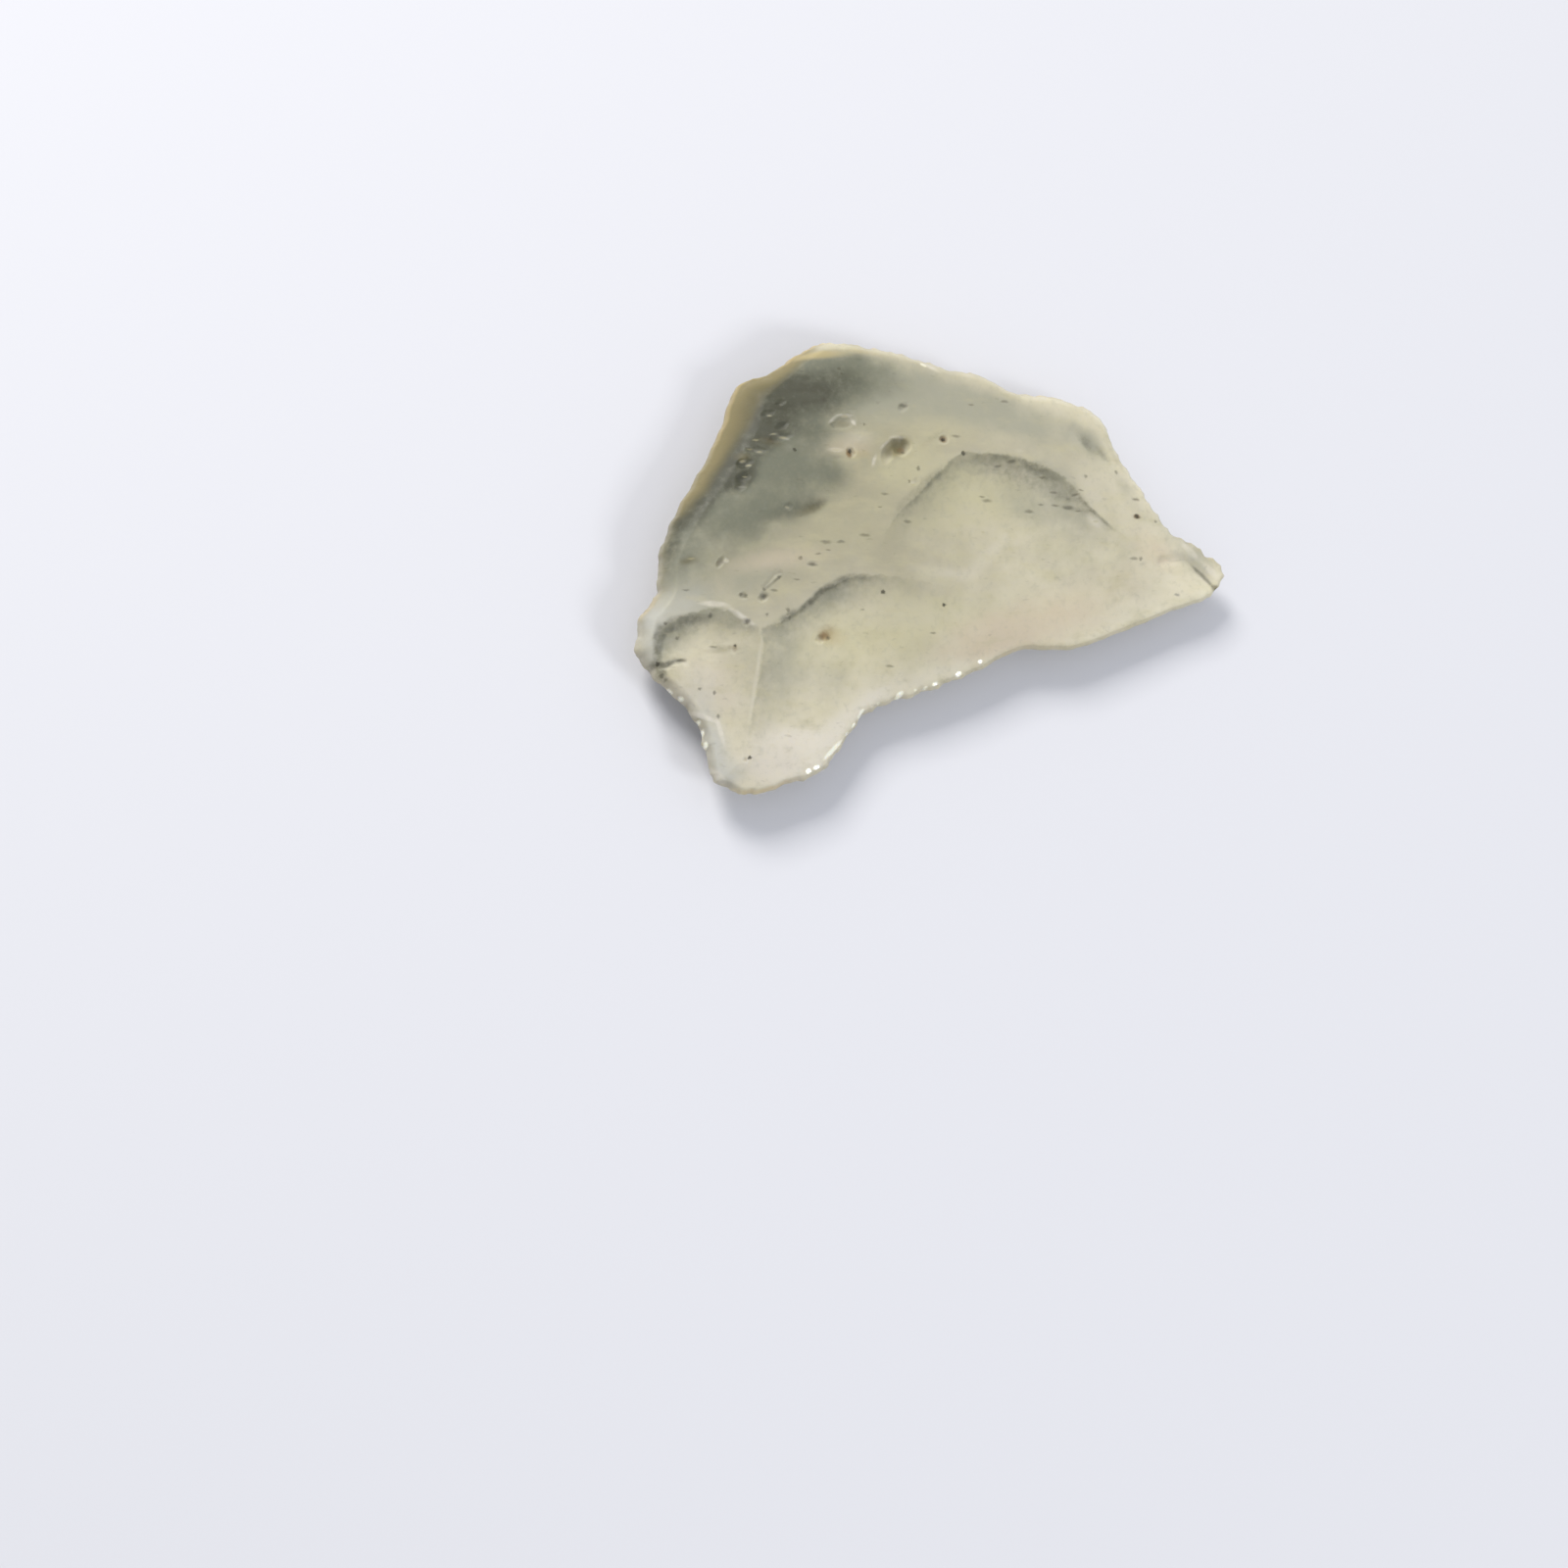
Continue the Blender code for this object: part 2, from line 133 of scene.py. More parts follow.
# How the rim rounds over, by direction from the sheet's centre in degrees: height of the
# rounded part, its width, the slope that goes on inward, how deeply the edge is nibbled, and
# how knobby it is between the larger chips
RIM_STATIONS = [
    (-175, 0.75, 0.60, 0.40, 0.9, 0.2), (-150, 0.45, 0.40, 0.40, 0.9, 0.3),
    (-132, 0.40, 0.35, 0.50, 0.4, 0.3), (-110, 0.28, 0.26, 0.50, 1.0, 0.0),
    (-75, 0.22, 0.24, 0.50, 1.0, 0.1), (-50, 0.22, 0.28, 0.50, 0.3, 0.0),
    (-28, 0.22, 0.28, 0.45, 0.3, 0.1), (-22, 0.45, 0.40, 0.40, 0.6, 1.0),
    (-10, 0.80, 0.55, 0.30, 0.6, 0.9), (15, 1.05, 0.60, 0.24, 0.5, 0.4),
    (45, 1.20, 0.60, 0.20, 0.6, 0.5), (62, 1.30, 0.60, 0.20, 0.4, 0.7),
    (75, 1.40, 0.62, 0.20, 0.3, 0.5), (88, 1.50, 0.85, 0.20, 0.2, 0.2),
    (99, 1.60, 1.70, 0.20, 0.3, 0.0), (118, 1.60, 1.50, 0.20, 0.3, 0.0),
    (140, 1.50, 1.10, 0.24, 0.5, 0.1), (160, 1.25, 0.80, 0.30, 0.8, 0.1),
]
print(len(RIM_STATIONS), "stations round the rim")

# %% Closed curve
SPAN_STEPS = 80


def even_steps(loop, steps):
    """The same closed loop with its points evenly spaced."""
    closed = np.vstack([loop, loop[:1]])
    travelled = np.r_[0, np.cumsum(np.linalg.norm(np.diff(closed, axis=0), axis=1))]
    wanted = np.linspace(0, travelled[-1], steps, endpoint=False)
    return np.c_[np.interp(wanted, travelled, closed[:, 0]),
                 np.interp(wanted, travelled, closed[:, 1])]


def closed_curve(points, steps):
    """A smooth closed curve through the points, in even steps of its length."""
    here = np.array(points, float)
    ahead = np.roll(here, -1, axis=0)
    span = np.linalg.norm(ahead - here, axis=1)[:, None]
    slope = (ahead - here) / span
    span_back = np.roll(span, 1, axis=0)
    slope_back = np.roll(slope, 1, axis=0)
    tangent = (slope_back * span + slope * span_back) / (span + span_back)
    t = np.linspace(0, 1, SPAN_STEPS, endpoint=False)[None, :, None]
    start, end = here[:, None], ahead[:, None]
    leave, arrive = (tangent * span)[:, None], (np.roll(tangent, -1, axis=0) * span)[:, None]
    fine = (
        (2 * t**3 - 3 * t**2 + 1) * start + (t**3 - 2 * t**2 + t) * leave
        + (3 * t**2 - 2 * t**3) * end + (t**3 - t**2) * arrive
    ).reshape(-1, 2)
    return even_steps(fine, steps)


smooth_line = closed_curve(OUTLINE, RIM_STEPS)
print("smooth outline's box:", np.ptp(smooth_line, axis=0).round(2), "mm")


# %% Rim line
def station_values(points):
    """Rounding height and width, inward slope, nibbles and knobs towards each point."""
    turn = np.degrees(np.arctan2(points[:, 1] - SHEET_CENTRE[1], points[:, 0] - SHEET_CENTRE[0]))
    table = np.array(RIM_STATIONS)
    return [np.interp(turn, table[:, 0], table[:, k], period=360) for k in range(1, 6)]


def nibbles(perimeter, seed, shortest, longest):
    """Along the rim: 0 at each worn point that a chip has left, up to 1 in the middle of a chip.

    A short chip is also a shallow one.
    """
    dice = np.random.default_rng(seed)
    ends = [0.0]
    while ends[-1] < perimeter:
        ends.append(ends[-1] + dice.uniform(shortest, longest))
    ends = np.array(ends) * perimeter / ends[-1]
    deep = dice.uniform(*CHIP_SHARES, len(ends))
    along = np.arange(RIM_STEPS) * perimeter / RIM_STEPS
    chip = np.searchsorted(ends, along, side="right") - 1
    length = ends[chip + 1] - ends[chip]
    share = (along - ends[chip]) / length
    return (4 * share * (1 - share)) ** CHIP_WEAR * deep[chip] * length / longest


def make_rim(smooth):
    """The even rim, the nibbled one stretched to the stated size, and its chip pattern."""
    perimeter = np.linalg.norm(smooth - np.roll(smooth, 1, axis=0), axis=1).sum()
    along = np.roll(smooth, -1, axis=0) - np.roll(smooth, 1, axis=0)
    along /= np.linalg.norm(along, axis=1)[:, None]
    inward = np.c_[-along[:, 1], along[:, 0]]
    nibbled, knobby = station_values(smooth)[3:]
    bite = np.zeros(RIM_STEPS)
    for (*pattern, depth), strength in (
            (LARGE_CHIPS, nibbled), (FINE_CHIPS, nibbled), (KNOBS, knobby)):
        bite += depth * strength * nibbles(perimeter, *pattern)
    rim = smooth + inward * bite[:, None]
    low, high = rim.min(axis=0), rim.max(axis=0)
    rim = (rim - (low + high) / 2) * np.array([LENGTH, WIDTH]) / (high - low)
    return smooth, rim, bite / LARGE_CHIPS[-1]


outline = make_rim(smooth_line)
print("rim line:", RIM_STEPS, "steps, box", np.ptp(outline[1], axis=0).round(2), "mm")

# %% [markdown]
# ## The flake scars
#
# Each scar is a shallow scoop that starts at a crest line. The face drops steeply beside the
# crest and then runs out flat. A crest is a row of points, each with how deep the scoop falls
# there and how wide the steep part is. Real crests are never drawn curves, so the places at
# which they are read wander a little. The same fall is also kept as two masks, for painted
# shade on the wall inside a crest and painted light on the shoulder outside it.

# %% Crests of the upper face
# Places across and along, how deep the scoop falls there and how wide its steep part is
LEFT_CREST = [
    (-17.4, -4.4, 0.0, 0.5), (-16.5, -3.0, 0.22, 0.4), (-16.1, -2.3, 0.45, 0.35),
    (-15.9, -1.7, 0.75, 0.35), (-15.6, -0.9, 0.92, 0.35), (-15.1, -0.45, 0.92, 0.4),
    (-14.5, -0.25, 0.88, 0.45), (-13.2, -0.1, 0.75, 0.5), (-12.2, -0.3, 0.62, 0.6),
    (-11.2, -1.0, 0.50, 0.7), (-10.6, -1.8, 0.42, 0.8), (-10.1, -2.4, 0.38, 1.0),
    (-10.6, -3.6, 0.34, 1.2), (-11.9, -5.4, 0.30, 1.3), (-13.0, -7.1, 0.20, 1.3),
    (-13.9, -8.4, 0.08, 1.2), (-14.8, -10.4, 0.0, 1.2),
]
MIDDLE_CREST = [
    (-14.8, -10.4, 0.0, 1.5), (-13.9, -8.4, 0.12, 1.5), (-13.0, -7.1, 0.32, 1.5),
    (-11.9, -5.4, 0.50, 1.4), (-10.6, -3.6, 0.60, 1.3), (-10.1, -2.4, 0.66, 1.1),
    (-9.3, -2.5, 0.68, 1.0), (-8.4, -2.4, 0.70, 0.9), (-7.3, -2.1, 0.74, 0.75),
    (-6.3, -1.75, 0.76, 0.65), (-5.4, -1.85, 0.76, 0.65), (-4.6, -1.75, 0.68, 0.7),
    (-3.8, -1.9, 0.54, 0.9), (-2.8, -2.4, 0.38, 1.1), (-1.3, -3.2, 0.22, 1.4),
    (0.3, -4.2, 0.12, 1.6), (1.9, -5.3, 0.06, 1.8), (4.3, -6.8, 0.0, 1.8),
]
RIGHT_CREST = [
    (-2.8, -1.6, 0.0, 1.4), (-1.5, -0.2, 0.28, 1.2), (-0.6, 0.3, 0.42, 1.0),
    (0.8, 0.8, 0.54, 0.9), (1.9, 1.2, 0.62, 0.8), (2.7, 1.5, 0.70, 0.8), (3.8, 1.95, 0.78, 0.8),
    (4.5, 1.95, 0.80, 0.75), (5.6, 1.5, 0.82, 0.65), (6.4, 1.1, 0.82, 0.65),
    (7.1, 0.6, 0.78, 0.7), (8.0, 0.0, 0.74, 0.7), (9.0, -0.8, 0.68, 0.65),
    (9.5, -1.6, 0.60, 0.6), (9.8, -2.4, 0.52, 0.6), (10.2, -3.6, 0.38, 0.5),
    (10.9, -4.9, 0.22, 0.5), (11.5, -5.9, 0.08, 0.8), (12.4, -7.4, 0.0, 1.0),
]
CORNER_CREST = [
    (-16.4, -3.4, 0.0, 0.4), (-15.3, -4.5, 0.18, 0.35), (-14.9, -5.1, 0.30, 0.35),
    (-14.45, -5.7, 0.36, 0.35), (-14.3, -6.3, 0.38, 0.4), (-14.4, -6.9, 0.36, 0.4),
    (-14.6, -7.9, 0.28, 0.45), (-14.8, -8.8, 0.18, 0.5), (-14.9, -10.4, 0.0, 0.5),
]
print("four crests on the upper face")

# %% Crests of the belly
BELLY_LEFT_CREST = [
    (-8.0, 9.0, 0.0, 1.8), (-8.6, 5.0, 0.35, 1.6), (-9.6, 1.0, 0.45, 1.5),
    (-10.4, -3.0, 0.35, 1.6), (-10.0, -7.0, 0.0, 1.8),
]
BELLY_RIGHT_CREST = [
    (5.0, 8.0, 0.0, 1.8), (6.6, 4.0, 0.40, 1.6), (7.4, 0.0, 0.50, 1.5),
    (6.6, -4.0, 0.40, 1.6), (4.4, -8.4, 0.0, 1.8),
]
BELLY_TOP_CREST = [
    (-7.0, 8.6, 0.0, 1.5), (-3.6, 5.6, 0.35, 1.4), (0.2, 4.6, 0.45, 1.3),
    (3.8, 5.4, 0.30, 1.4), (5.6, 7.4, 0.0, 1.5),
]
print("three crests on the belly")

# %% Lines and distances
# Beyond the outline, where the open sides of the scars are closed, and how they fade there
FAR = 30.0
OPEN_END_FADE = 3.0

# How a crest wanders: wavelength, reach and noise seed
CREST_WANDER = [(1.9, 0.10, 4.0), (0.5, 0.08, 8.0), (0.24, 0.05, 3.0)]
CREST_WINDOW = 5
LINE_STEP = 0.12
OPEN_SIDE_STEP = 0.25

# Noise that gives vectors starts from the clock, so a seed makes every run the same
VECTOR_SEED = 7
noise.seed_set(VECTOR_SEED)


def nearest_on_line(points, line):
    """Distance to a line of densely placed points, and the index of the nearest one."""
    tree = kdtree.KDTree(len(line))
    for number, place in enumerate(line):
        tree.insert((*place[:2], 0), number)
    tree.balance()
    found = [tree.find((x, y, 0)) for x, y in points]
    return np.array([f[2] for f in found]), np.array([f[1] for f in found])


def dense_line(points, step=LINE_STEP, window=1):
    """An open line of points with its other columns, in short even steps and rounded off."""
    rows = np.array(points, float)
    travelled = np.r_[0, np.cumsum(np.linalg.norm(np.diff(rows[:, :2], axis=0), axis=1))]
    wanted = np.arange(0, travelled[-1] + step, step)
    line = np.stack([np.interp(wanted, travelled, column) for column in rows.T], axis=1)
    ends = np.pad(line, ((window // 2, window // 2), (0, 0)), "edge")
    return np.stack([np.convolve(column, np.ones(window) / window, "valid")
                     for column in ends.T], axis=1)


def wandered(points):
    """The points pushed about a little by noise."""
    moved = points.copy()
    for size, reach, seed in CREST_WANDER:
        moved += reach * np.array([noise.noise_vector((x / size, y / size, seed))[:2]
                                   for x, y in points])
    return moved


def inside(points, polygon):
    """Whether each point is inside the polygon, by counting the sides that it looks across."""
    x, y = points[:, 0], points[:, 1]
    odd = np.zeros(len(points), bool)
    for (ax, ay), (bx, by) in zip(polygon, polygon[1:] + polygon[:1]):
        spans = (ay > y) != (by > y)
        reach = (bx - ax) * (y - ay) / (by - ay if by != ay else 1.0) + ax
        odd ^= spans & (x < reach)
    return odd


print("the left crest is", len(dense_line(LEFT_CREST)), "points when read closely")

# %% Scar
# The masks' reach beside a crest, and the fall that gives a mask its full strength
WALL_REACH = 0.9
SHOULDER_REACH = 1.4
FULL_FALL = 0.7

# How strongly the nearest part of a crest counts, a gap that keeps its distance above zero, and
# how many points are read at a time
CREST_PULL = 4
LEAST_GAP = 0.02
BATCH = 8000


def crest_values(points, line):
    """Depth and width of a scar at each point: those of the crest's parts, the nearest first."""
    values = np.empty((len(points), 2))
    for first in range(0, len(points), BATCH):
        part = slice(first, first + BATCH)
        gap = np.linalg.norm(points[part, None] - line[None, :, :2], axis=2) + LEAST_GAP
        pull = gap**-CREST_PULL
        total = pull.sum(axis=1)[:, None]
        values[part] = (pull[:, :, None] * line[None, :, 2:]).sum(axis=1) / total
    return values.T


def scar(place, crest, far_side, shade=1.0):
    """How far a scar lies below its crest: steep beside it, then flattening out."""
    points = place.worn
    line = dense_line(crest, window=CREST_WINDOW)
    within = inside(points, [tuple(row[:2]) for row in line] + far_side)
    depth, width = crest_values(points, line)
    gap, _ = nearest_on_line(points, line)
    open_side = dense_line([crest[-1][:2], *far_side, crest[0][:2]], OPEN_SIDE_STEP)
    share = np.clip(nearest_on_line(points, open_side)[0] / OPEN_END_FADE, 0, 1)
    fade = share * share * (3 - 2 * share)
    strength = np.clip(depth / FULL_FALL, 0, 1) * shade
    # The wall mask is painted shade inside a crest, the shoulder mask painted light outside it
    place.wall += np.where(within, strength * fade * np.exp(-gap / WALL_REACH), 0)
    place.shoulder += np.where(within, 0, strength * np.exp(-gap / SHOULDER_REACH))
    return np.where(within, depth * (1 - np.exp(-gap / width)) * fade, 0.0)


print("masks fade over", WALL_REACH, "mm inside a crest and", SHOULDER_REACH, "mm outside it")

# %% [markdown]
# ## Pits and grooves
#
# Gas bubbles that the wind has opened are small oval pits, drawn out in the direction in which
# the melt flowed. Each has a soft bowl and a faint raised lip. The places of the pits on this
# stone are pixels of the photograph, each met where the line of sight from the camera passes a
# height above the rim.

# %% Pits and grooves
# Pixels across and down, length and width in mm, turn in degrees, depth
PITS = [
    (917, 457, 1.15, 0.95, 10, 0.20), (903, 464, 1.3, 0.65, 45, 0.13),
    (859, 432, 1.45, 0.75, -8, 0.13), (921, 415, 0.9, 0.45, 12, 0.07),
    (866, 462, 0.45, 0.6, 10, 0.14), (961, 449, 0.55, 0.5, 20, 0.13),
    (841, 648, 0.6, 0.5, 0, 0.11), (797, 411, 0.7, 0.35, 0, 0.07),
    (784, 422, 0.8, 0.35, -10, 0.06), (797, 435, 0.8, 0.4, 0, 0.07),
    (797, 446, 1.5, 0.4, -12, 0.09),
    (771, 458, 1.2, 0.4, -22, 0.08), (760, 472, 1.0, 0.55, -15, 0.12),
    (758, 487, 0.9, 0.7, 20, 0.10), (756, 496, 0.8, 0.4, 0, 0.07),
    (735, 574, 0.8, 0.4, 25, 0.10), (779, 609, 0.6, 0.45, 20, 0.10),
    (758, 607, 0.5, 0.4, 30, 0.07), (763, 634, 0.45, 0.4, 0, 0.07),
    (765, 773, 0.3, 0.3, 0, 0.08), (750, 661, 0.35, 0.6, 10, 0.06), (803, 517, 0.6, 0.4, 0, 0.06),
    (829, 575, 0.7, 0.3, -8, 0.06), (932, 492, 0.5, 0.35, 30, 0.06),
]

# How high above the rim the pits' pixels are read, and the lip's height, place and width
PITS_ABOVE_RIM = 2.0
PIT_LIP = 0.16
PIT_LIP_PLACE = 1.15
PIT_LIP_WIDTH = 0.26

# Grooves in mm: places, depth and width
GROOVES = [
    ([(12.9, -7.7), (13.5, -7.8), (14.2, -8.0), (14.6, -8.5), (15.0, -9.3), (15.5, -10.2)],
     0.14, 0.26),
    ([(11.2, 0.8), (12.0, -0.5), (12.7, -1.5)], 0.12, 0.45),
    ([(-15.95, -1.9), (-15.5, -2.2), (-15.0, -2.05), (-14.5, -2.3)], 0.09, 0.13),
    ([(-9.1, -0.45), (-8.7, -0.3), (-8.3, -0.05), (-7.95, -0.1)], 0.07, 0.12),
]
GROOVE_START = 0.4
GROOVE_STEP = 0.05
print(len(PITS), "pits and", len(GROOVES), "grooves")


# %% Cutting pits and grooves
def view_ray(across, down):
    """Direction from the camera through a pixel of the photograph."""
    half = PHOTO_SIDE / 2
    aim = Vector(((across - half) / FOCAL_PIXELS, (half - down) / FOCAL_PIXELS, -1))
    return (camera_turn @ aim).normalized()


def at_height(across, down, height):
    """Where the line of sight through a pixel passes a height above the table."""
    ray = view_ray(across, down)
    place = CAMERA_PLACE + ray * (height - CAMERA_PLACE.z) / ray.z
    return place.x, place.y


def pit_fall(points, pit, face_height):
    """A round-bottomed pit with a faint raised lip."""
    across, down, length, width, turn, depth = pit
    x, y = at_height(across, down, face_height)
    c, s = math.cos(math.radians(turn)), math.sin(math.radians(turn))
    dx, dy = points[:, 0] - x, points[:, 1] - y
    u, v = (c * dx + s * dy) * 2 / length, (c * dy - s * dx) * 2 / width
    reach = np.hypot(u, v)
    bowl = np.clip(1 - reach**2, 0, None)
    lip = np.exp(-(((reach - PIT_LIP_PLACE) / PIT_LIP_WIDTH) ** 2))
    return depth * (bowl - PIT_LIP * lip)


def groove_fall(points, line, depth, width):
    """A shallow groove with round shoulders."""
    distance, _ = nearest_on_line(points, dense_line(line, GROOVE_STEP))
    return depth * np.exp(-((distance / width) ** 2))


first_pit = at_height(*PITS[0][:2], RIM_HEIGHT + PITS_ABOVE_RIM)
print("the deepest pit is at", np.round(first_pit, 1), "mm")

# %% [markdown]
# ## The two faces
#
# Two sheets span the rim line. The upper face is a low crown with the scars, the pits and very
# shallow ripples cut into it. The belly is rounder and meets the table in one flat spot. Both
# turn over in a soft quarter round at the rim. Working with heights over the outline keeps
# every form in one readable line of arithmetic.

# %% Face values
CROWN_RISE = 2.28
BELLY_DROP = 2.37
CROWN = (-3.0, 3.0)
CROWN_FALL = (0.0022, 0.0072)
BELLY_MIDDLE = (-1.0, -1.2)
BELLY_REACH = (15.5, 9.6)
BELLY_LOSS = 0.75
BELLY_POWER = 1.3
BELLY_EDGE = (0.55, 0.8)
CHIP_WIDENING = 0.08
UPPER_CHIPS_FADE = 0.35
BELLY_CHIPS_FADE = 0.20
RIM_WAVE_X = (0.10, 0.30, 0.6)
RIM_WAVE_Y = (0.07, 0.43, -0.8)
FACE_WEAR = 0.45
BELLY_WEAR = 0.20

# Undulations of the faces: wavelength, height, noise seed
FACE_SWELLS = [(4.2, 0.07, 3.0), (1.5, 0.03, 9.0), (0.55, 0.010, 5.0)]
BELLY_SWELLS = [(6.5, 0.16, 21.0), (0.9, 0.015, 2.0)]

# Ripples spread from where each scar was struck: centre, wavelength, height
RIPPLES = [((-5.0, -15.0), 1.5, 0.012), ((7.0, -16.0), 1.9, 0.012)]
print("crown rises", CROWN_RISE, "mm, belly drops", BELLY_DROP, "mm from the rim")


# %% Rounding and waves
def soft_lower(a, b, blend):
    """The lower of two surfaces, with the arris between them worn round."""
    share = np.clip(0.5 + (b - a) / (2 * blend), 0, 1)
    return b + (a - b) * share - blend * share * (1 - share)


def undulation(points, swells):
    """Gentle, even undulations, each of about its own wavelength and height."""
    total = np.zeros(len(points))
    for size, height, seed in swells:
        wave = [noise.noise((x / size + seed, y / size - seed, seed)) for x, y in points]
        total += height * np.array(wave)
    return total


def rounded_rim(place, height, width, rise, chips_fade):
    """Height beside the rim: a quarter round, wider where a chip is out, then a slow rise.

    The chips are followed beside the rim line and no longer farther up or down a thick edge.
    """
    widened = width + CHIP_WIDENING * (place.chips - 0.5)
    fading = np.clip(place.from_rim / chips_fade, 0, 1)
    fading = fading * fading * (3 - 2 * fading)
    inset = place.from_rim + (place.from_smooth - place.from_rim) * fading
    share = np.clip(inset / widened, 0, 1)
    rising = rise * share * share * (3 - 2 * share)
    return height * np.sqrt(1 - (1 - share) ** 2) + rising * place.from_smooth


def rim_level(points):
    """Height of the rim line, which wanders a little up and down."""
    level = np.full(len(points), RIM_HEIGHT)
    for column, (height, turn, phase) in enumerate((RIM_WAVE_X, RIM_WAVE_Y)):
        level += height * np.sin(turn * points[:, column] + phase)
    return level


levels = rim_level(outline[1])
print("the rim line lies", levels.min().round(2), "to", levels.max().round(2), "mm up")


# %% Upper face and belly
def upper_face(place):
    """Height of the upper face above the table."""
    points = place.points
    height, width, slope = station_values(points)[:3]
    dx, dy = points[:, 0] - CROWN[0], points[:, 1] - CROWN[1]
    face = CROWN_RISE - CROWN_FALL[0] * dx**2 - CROWN_FALL[1] * dy**2
    face += undulation(points, FACE_SWELLS)
    scars = scar(place, LEFT_CREST, [(-FAR, -FAR), (-FAR, -4.4)])
    scars += scar(place, MIDDLE_CREST, [(4.3, -FAR), (-14.8, -FAR)])
    scars += scar(place, RIGHT_CREST, [(12.4, -FAR), (-2.8, -FAR)])
    scars += scar(place, CORNER_CREST, [(-FAR, -10.4), (-FAR, -3.4)], 0)
    face -= scars
    for centre, wavelength, ripple in RIPPLES:
        reach = np.linalg.norm(points - centre, axis=1) / wavelength
        face += ripple * np.sin(2 * math.pi * reach) * np.clip(scars, 0, 1)
    edge = rounded_rim(place, height, width, slope, UPPER_CHIPS_FADE)
    face = soft_lower(face, edge, FACE_WEAR)
    starting = np.clip(place.from_rim / GROOVE_START, 0, 1)
    for line, depth, across in GROOVES:
        face -= groove_fall(points, line, depth, across) * starting
    for pit in PITS:
        face -= pit_fall(place.worn, pit, RIM_HEIGHT + PITS_ABOVE_RIM) * starting
    return rim_level(points) + np.clip(face, 0, None)


def belly(place):
    """Height of the underside above the table, which it meets in one flat spot."""
    points = place.points
    height, width, slope = station_values(points)[:3]
    across = (points[:, 0] - BELLY_MIDDLE[0]) / BELLY_REACH[0]
    along = (points[:, 1] - BELLY_MIDDLE[1]) / BELLY_REACH[1]
    drop = BELLY_DROP * (1 - BELLY_LOSS * np.hypot(across, along) ** BELLY_POWER)
    drop += undulation(points, BELLY_SWELLS)
    drop -= scar(place, BELLY_LEFT_CREST, [(-FAR, -7.0), (-FAR, 9.0)])
    drop -= scar(place, BELLY_RIGHT_CREST, [(FAR, -8.4), (FAR, 8.0)])
    drop -= scar(place, BELLY_TOP_CREST, [(5.6, FAR), (-7.0, FAR)])
    edge = rounded_rim(
        place, BELLY_EDGE[0] * height, BELLY_EDGE[1] * width, slope, BELLY_CHIPS_FADE)
    drop = np.clip(soft_lower(drop, edge, BELLY_WEAR), 0, None)
    return np.clip(rim_level(points) - drop, 0, None)


print("before the scars the faces lie", round(CROWN_RISE + BELLY_DROP, 2), "mm apart")

# %% [markdown]
# ## The sheets
#
# A square grid is easy to make and has even cells, so each face starts as one. Its square rings
# are then stretched to rings of the outline, closer together near the rim, where the surface
# turns over. The belly has a third as many cells each way. Its edge is divided by three before
# it is stretched, so that both sheets meet point for point. The marks of the upper face fade
# out a little way round the rim.

# %% Stretching a grid
CROWDING = 1.3
ON_RIM = 1 - 1e-6


def spread_over_outline(flat, rim):
    """Places of a square sheet's points once it is stretched over the outline."""
    u, v = flat[:, 0], flat[:, 1]
    ring = np.minimum(np.maximum(np.abs(u), np.abs(v)), 1)
    side = np.where(np.abs(u) >= np.abs(v), v / np.where(u == 0, 1, u), 0)
    turn = np.where(u < 0, math.pi, 0) + side * math.pi / 4
    steep = np.abs(v) > np.abs(u)
    lean = u / np.where(v == 0, 1, v)
    turn = np.where(steep, np.where(v > 0, 1, 3) * math.pi / 2 - lean * math.pi / 4, turn)
    place = (turn / (2 * math.pi)) % 1 * len(rim)
    index = np.floor(place).astype(int)
    part = (place - index)[:, None]
    on_rim = rim[index % len(rim)] * (1 - part) + rim[(index + 1) % len(rim)] * part
    ring = (1 - (1 - ring) ** CROWDING)[:, None]
    centre = np.array(SHEET_CENTRE)
    return centre + (on_rim - centre) * ring


class Place:
    """Points of the outline's sheet, their distances from its rim, and masks for the finish."""

    def __init__(self, flat, smooth, rim, chips):
        self.points = spread_over_outline(flat, rim)
        self.worn = wandered(self.points)
        self.from_smooth, _ = nearest_on_line(self.points, smooth)
        self.from_rim, nearest = nearest_on_line(self.points, rim)
        self.from_rim[np.abs(flat).max(axis=1) > ON_RIM] = 0
        self.chips = chips[nearest]
        self.wall = np.zeros(len(flat))
        self.shoulder = np.zeros(len(flat))


corner = spread_over_outline(np.array([[1.0, 1.0]]), outline[1])[0]
print("a grid's corner goes to", corner.round(1), "mm on the rim")

# %% Sheets
UPPER_CELLS = 288
BELLY_SHARE = 3
MARKS_FADE = 0.8


def make_sheet(cells, rim_cuts, face):
    """One face of the stone: a fine grid spread over the outline and raised to its height."""
    sheet = bmesh.new()
    bmesh.ops.create_grid(sheet, x_segments=cells, y_segments=cells, size=1)
    if rim_cuts:
        border = [edge for edge in sheet.edges if edge.is_boundary]
        bmesh.ops.subdivide_edges(sheet, edges=border, cuts=rim_cuts)
    place = Place(np.array([v.co[:2] for v in sheet.verts]), *outline)
    faded = 0 if face is upper_face else place.from_rim / MARKS_FADE
    masks = {"from_rim": place.from_rim, "wall": place.wall, "shoulder": place.shoulder,
             "upper": np.ones(len(place.points)) * np.clip(1 - faded, 0, 1)}
    for vert, (x, y), z in zip(sheet.verts, place.points, face(place)):
        vert.co = (x * MM, y * MM, z * MM)
    mesh = bpy.data.meshes.new(face.__name__)
    sheet.to_mesh(mesh)
    sheet.free()
    for name, values in masks.items():
        layer = mesh.attributes.new(name, "FLOAT", "POINT")
        layer.data.foreach_set("value", values.astype(np.float32))
    print(face.__name__, len(mesh.vertices), "points")
    return mesh


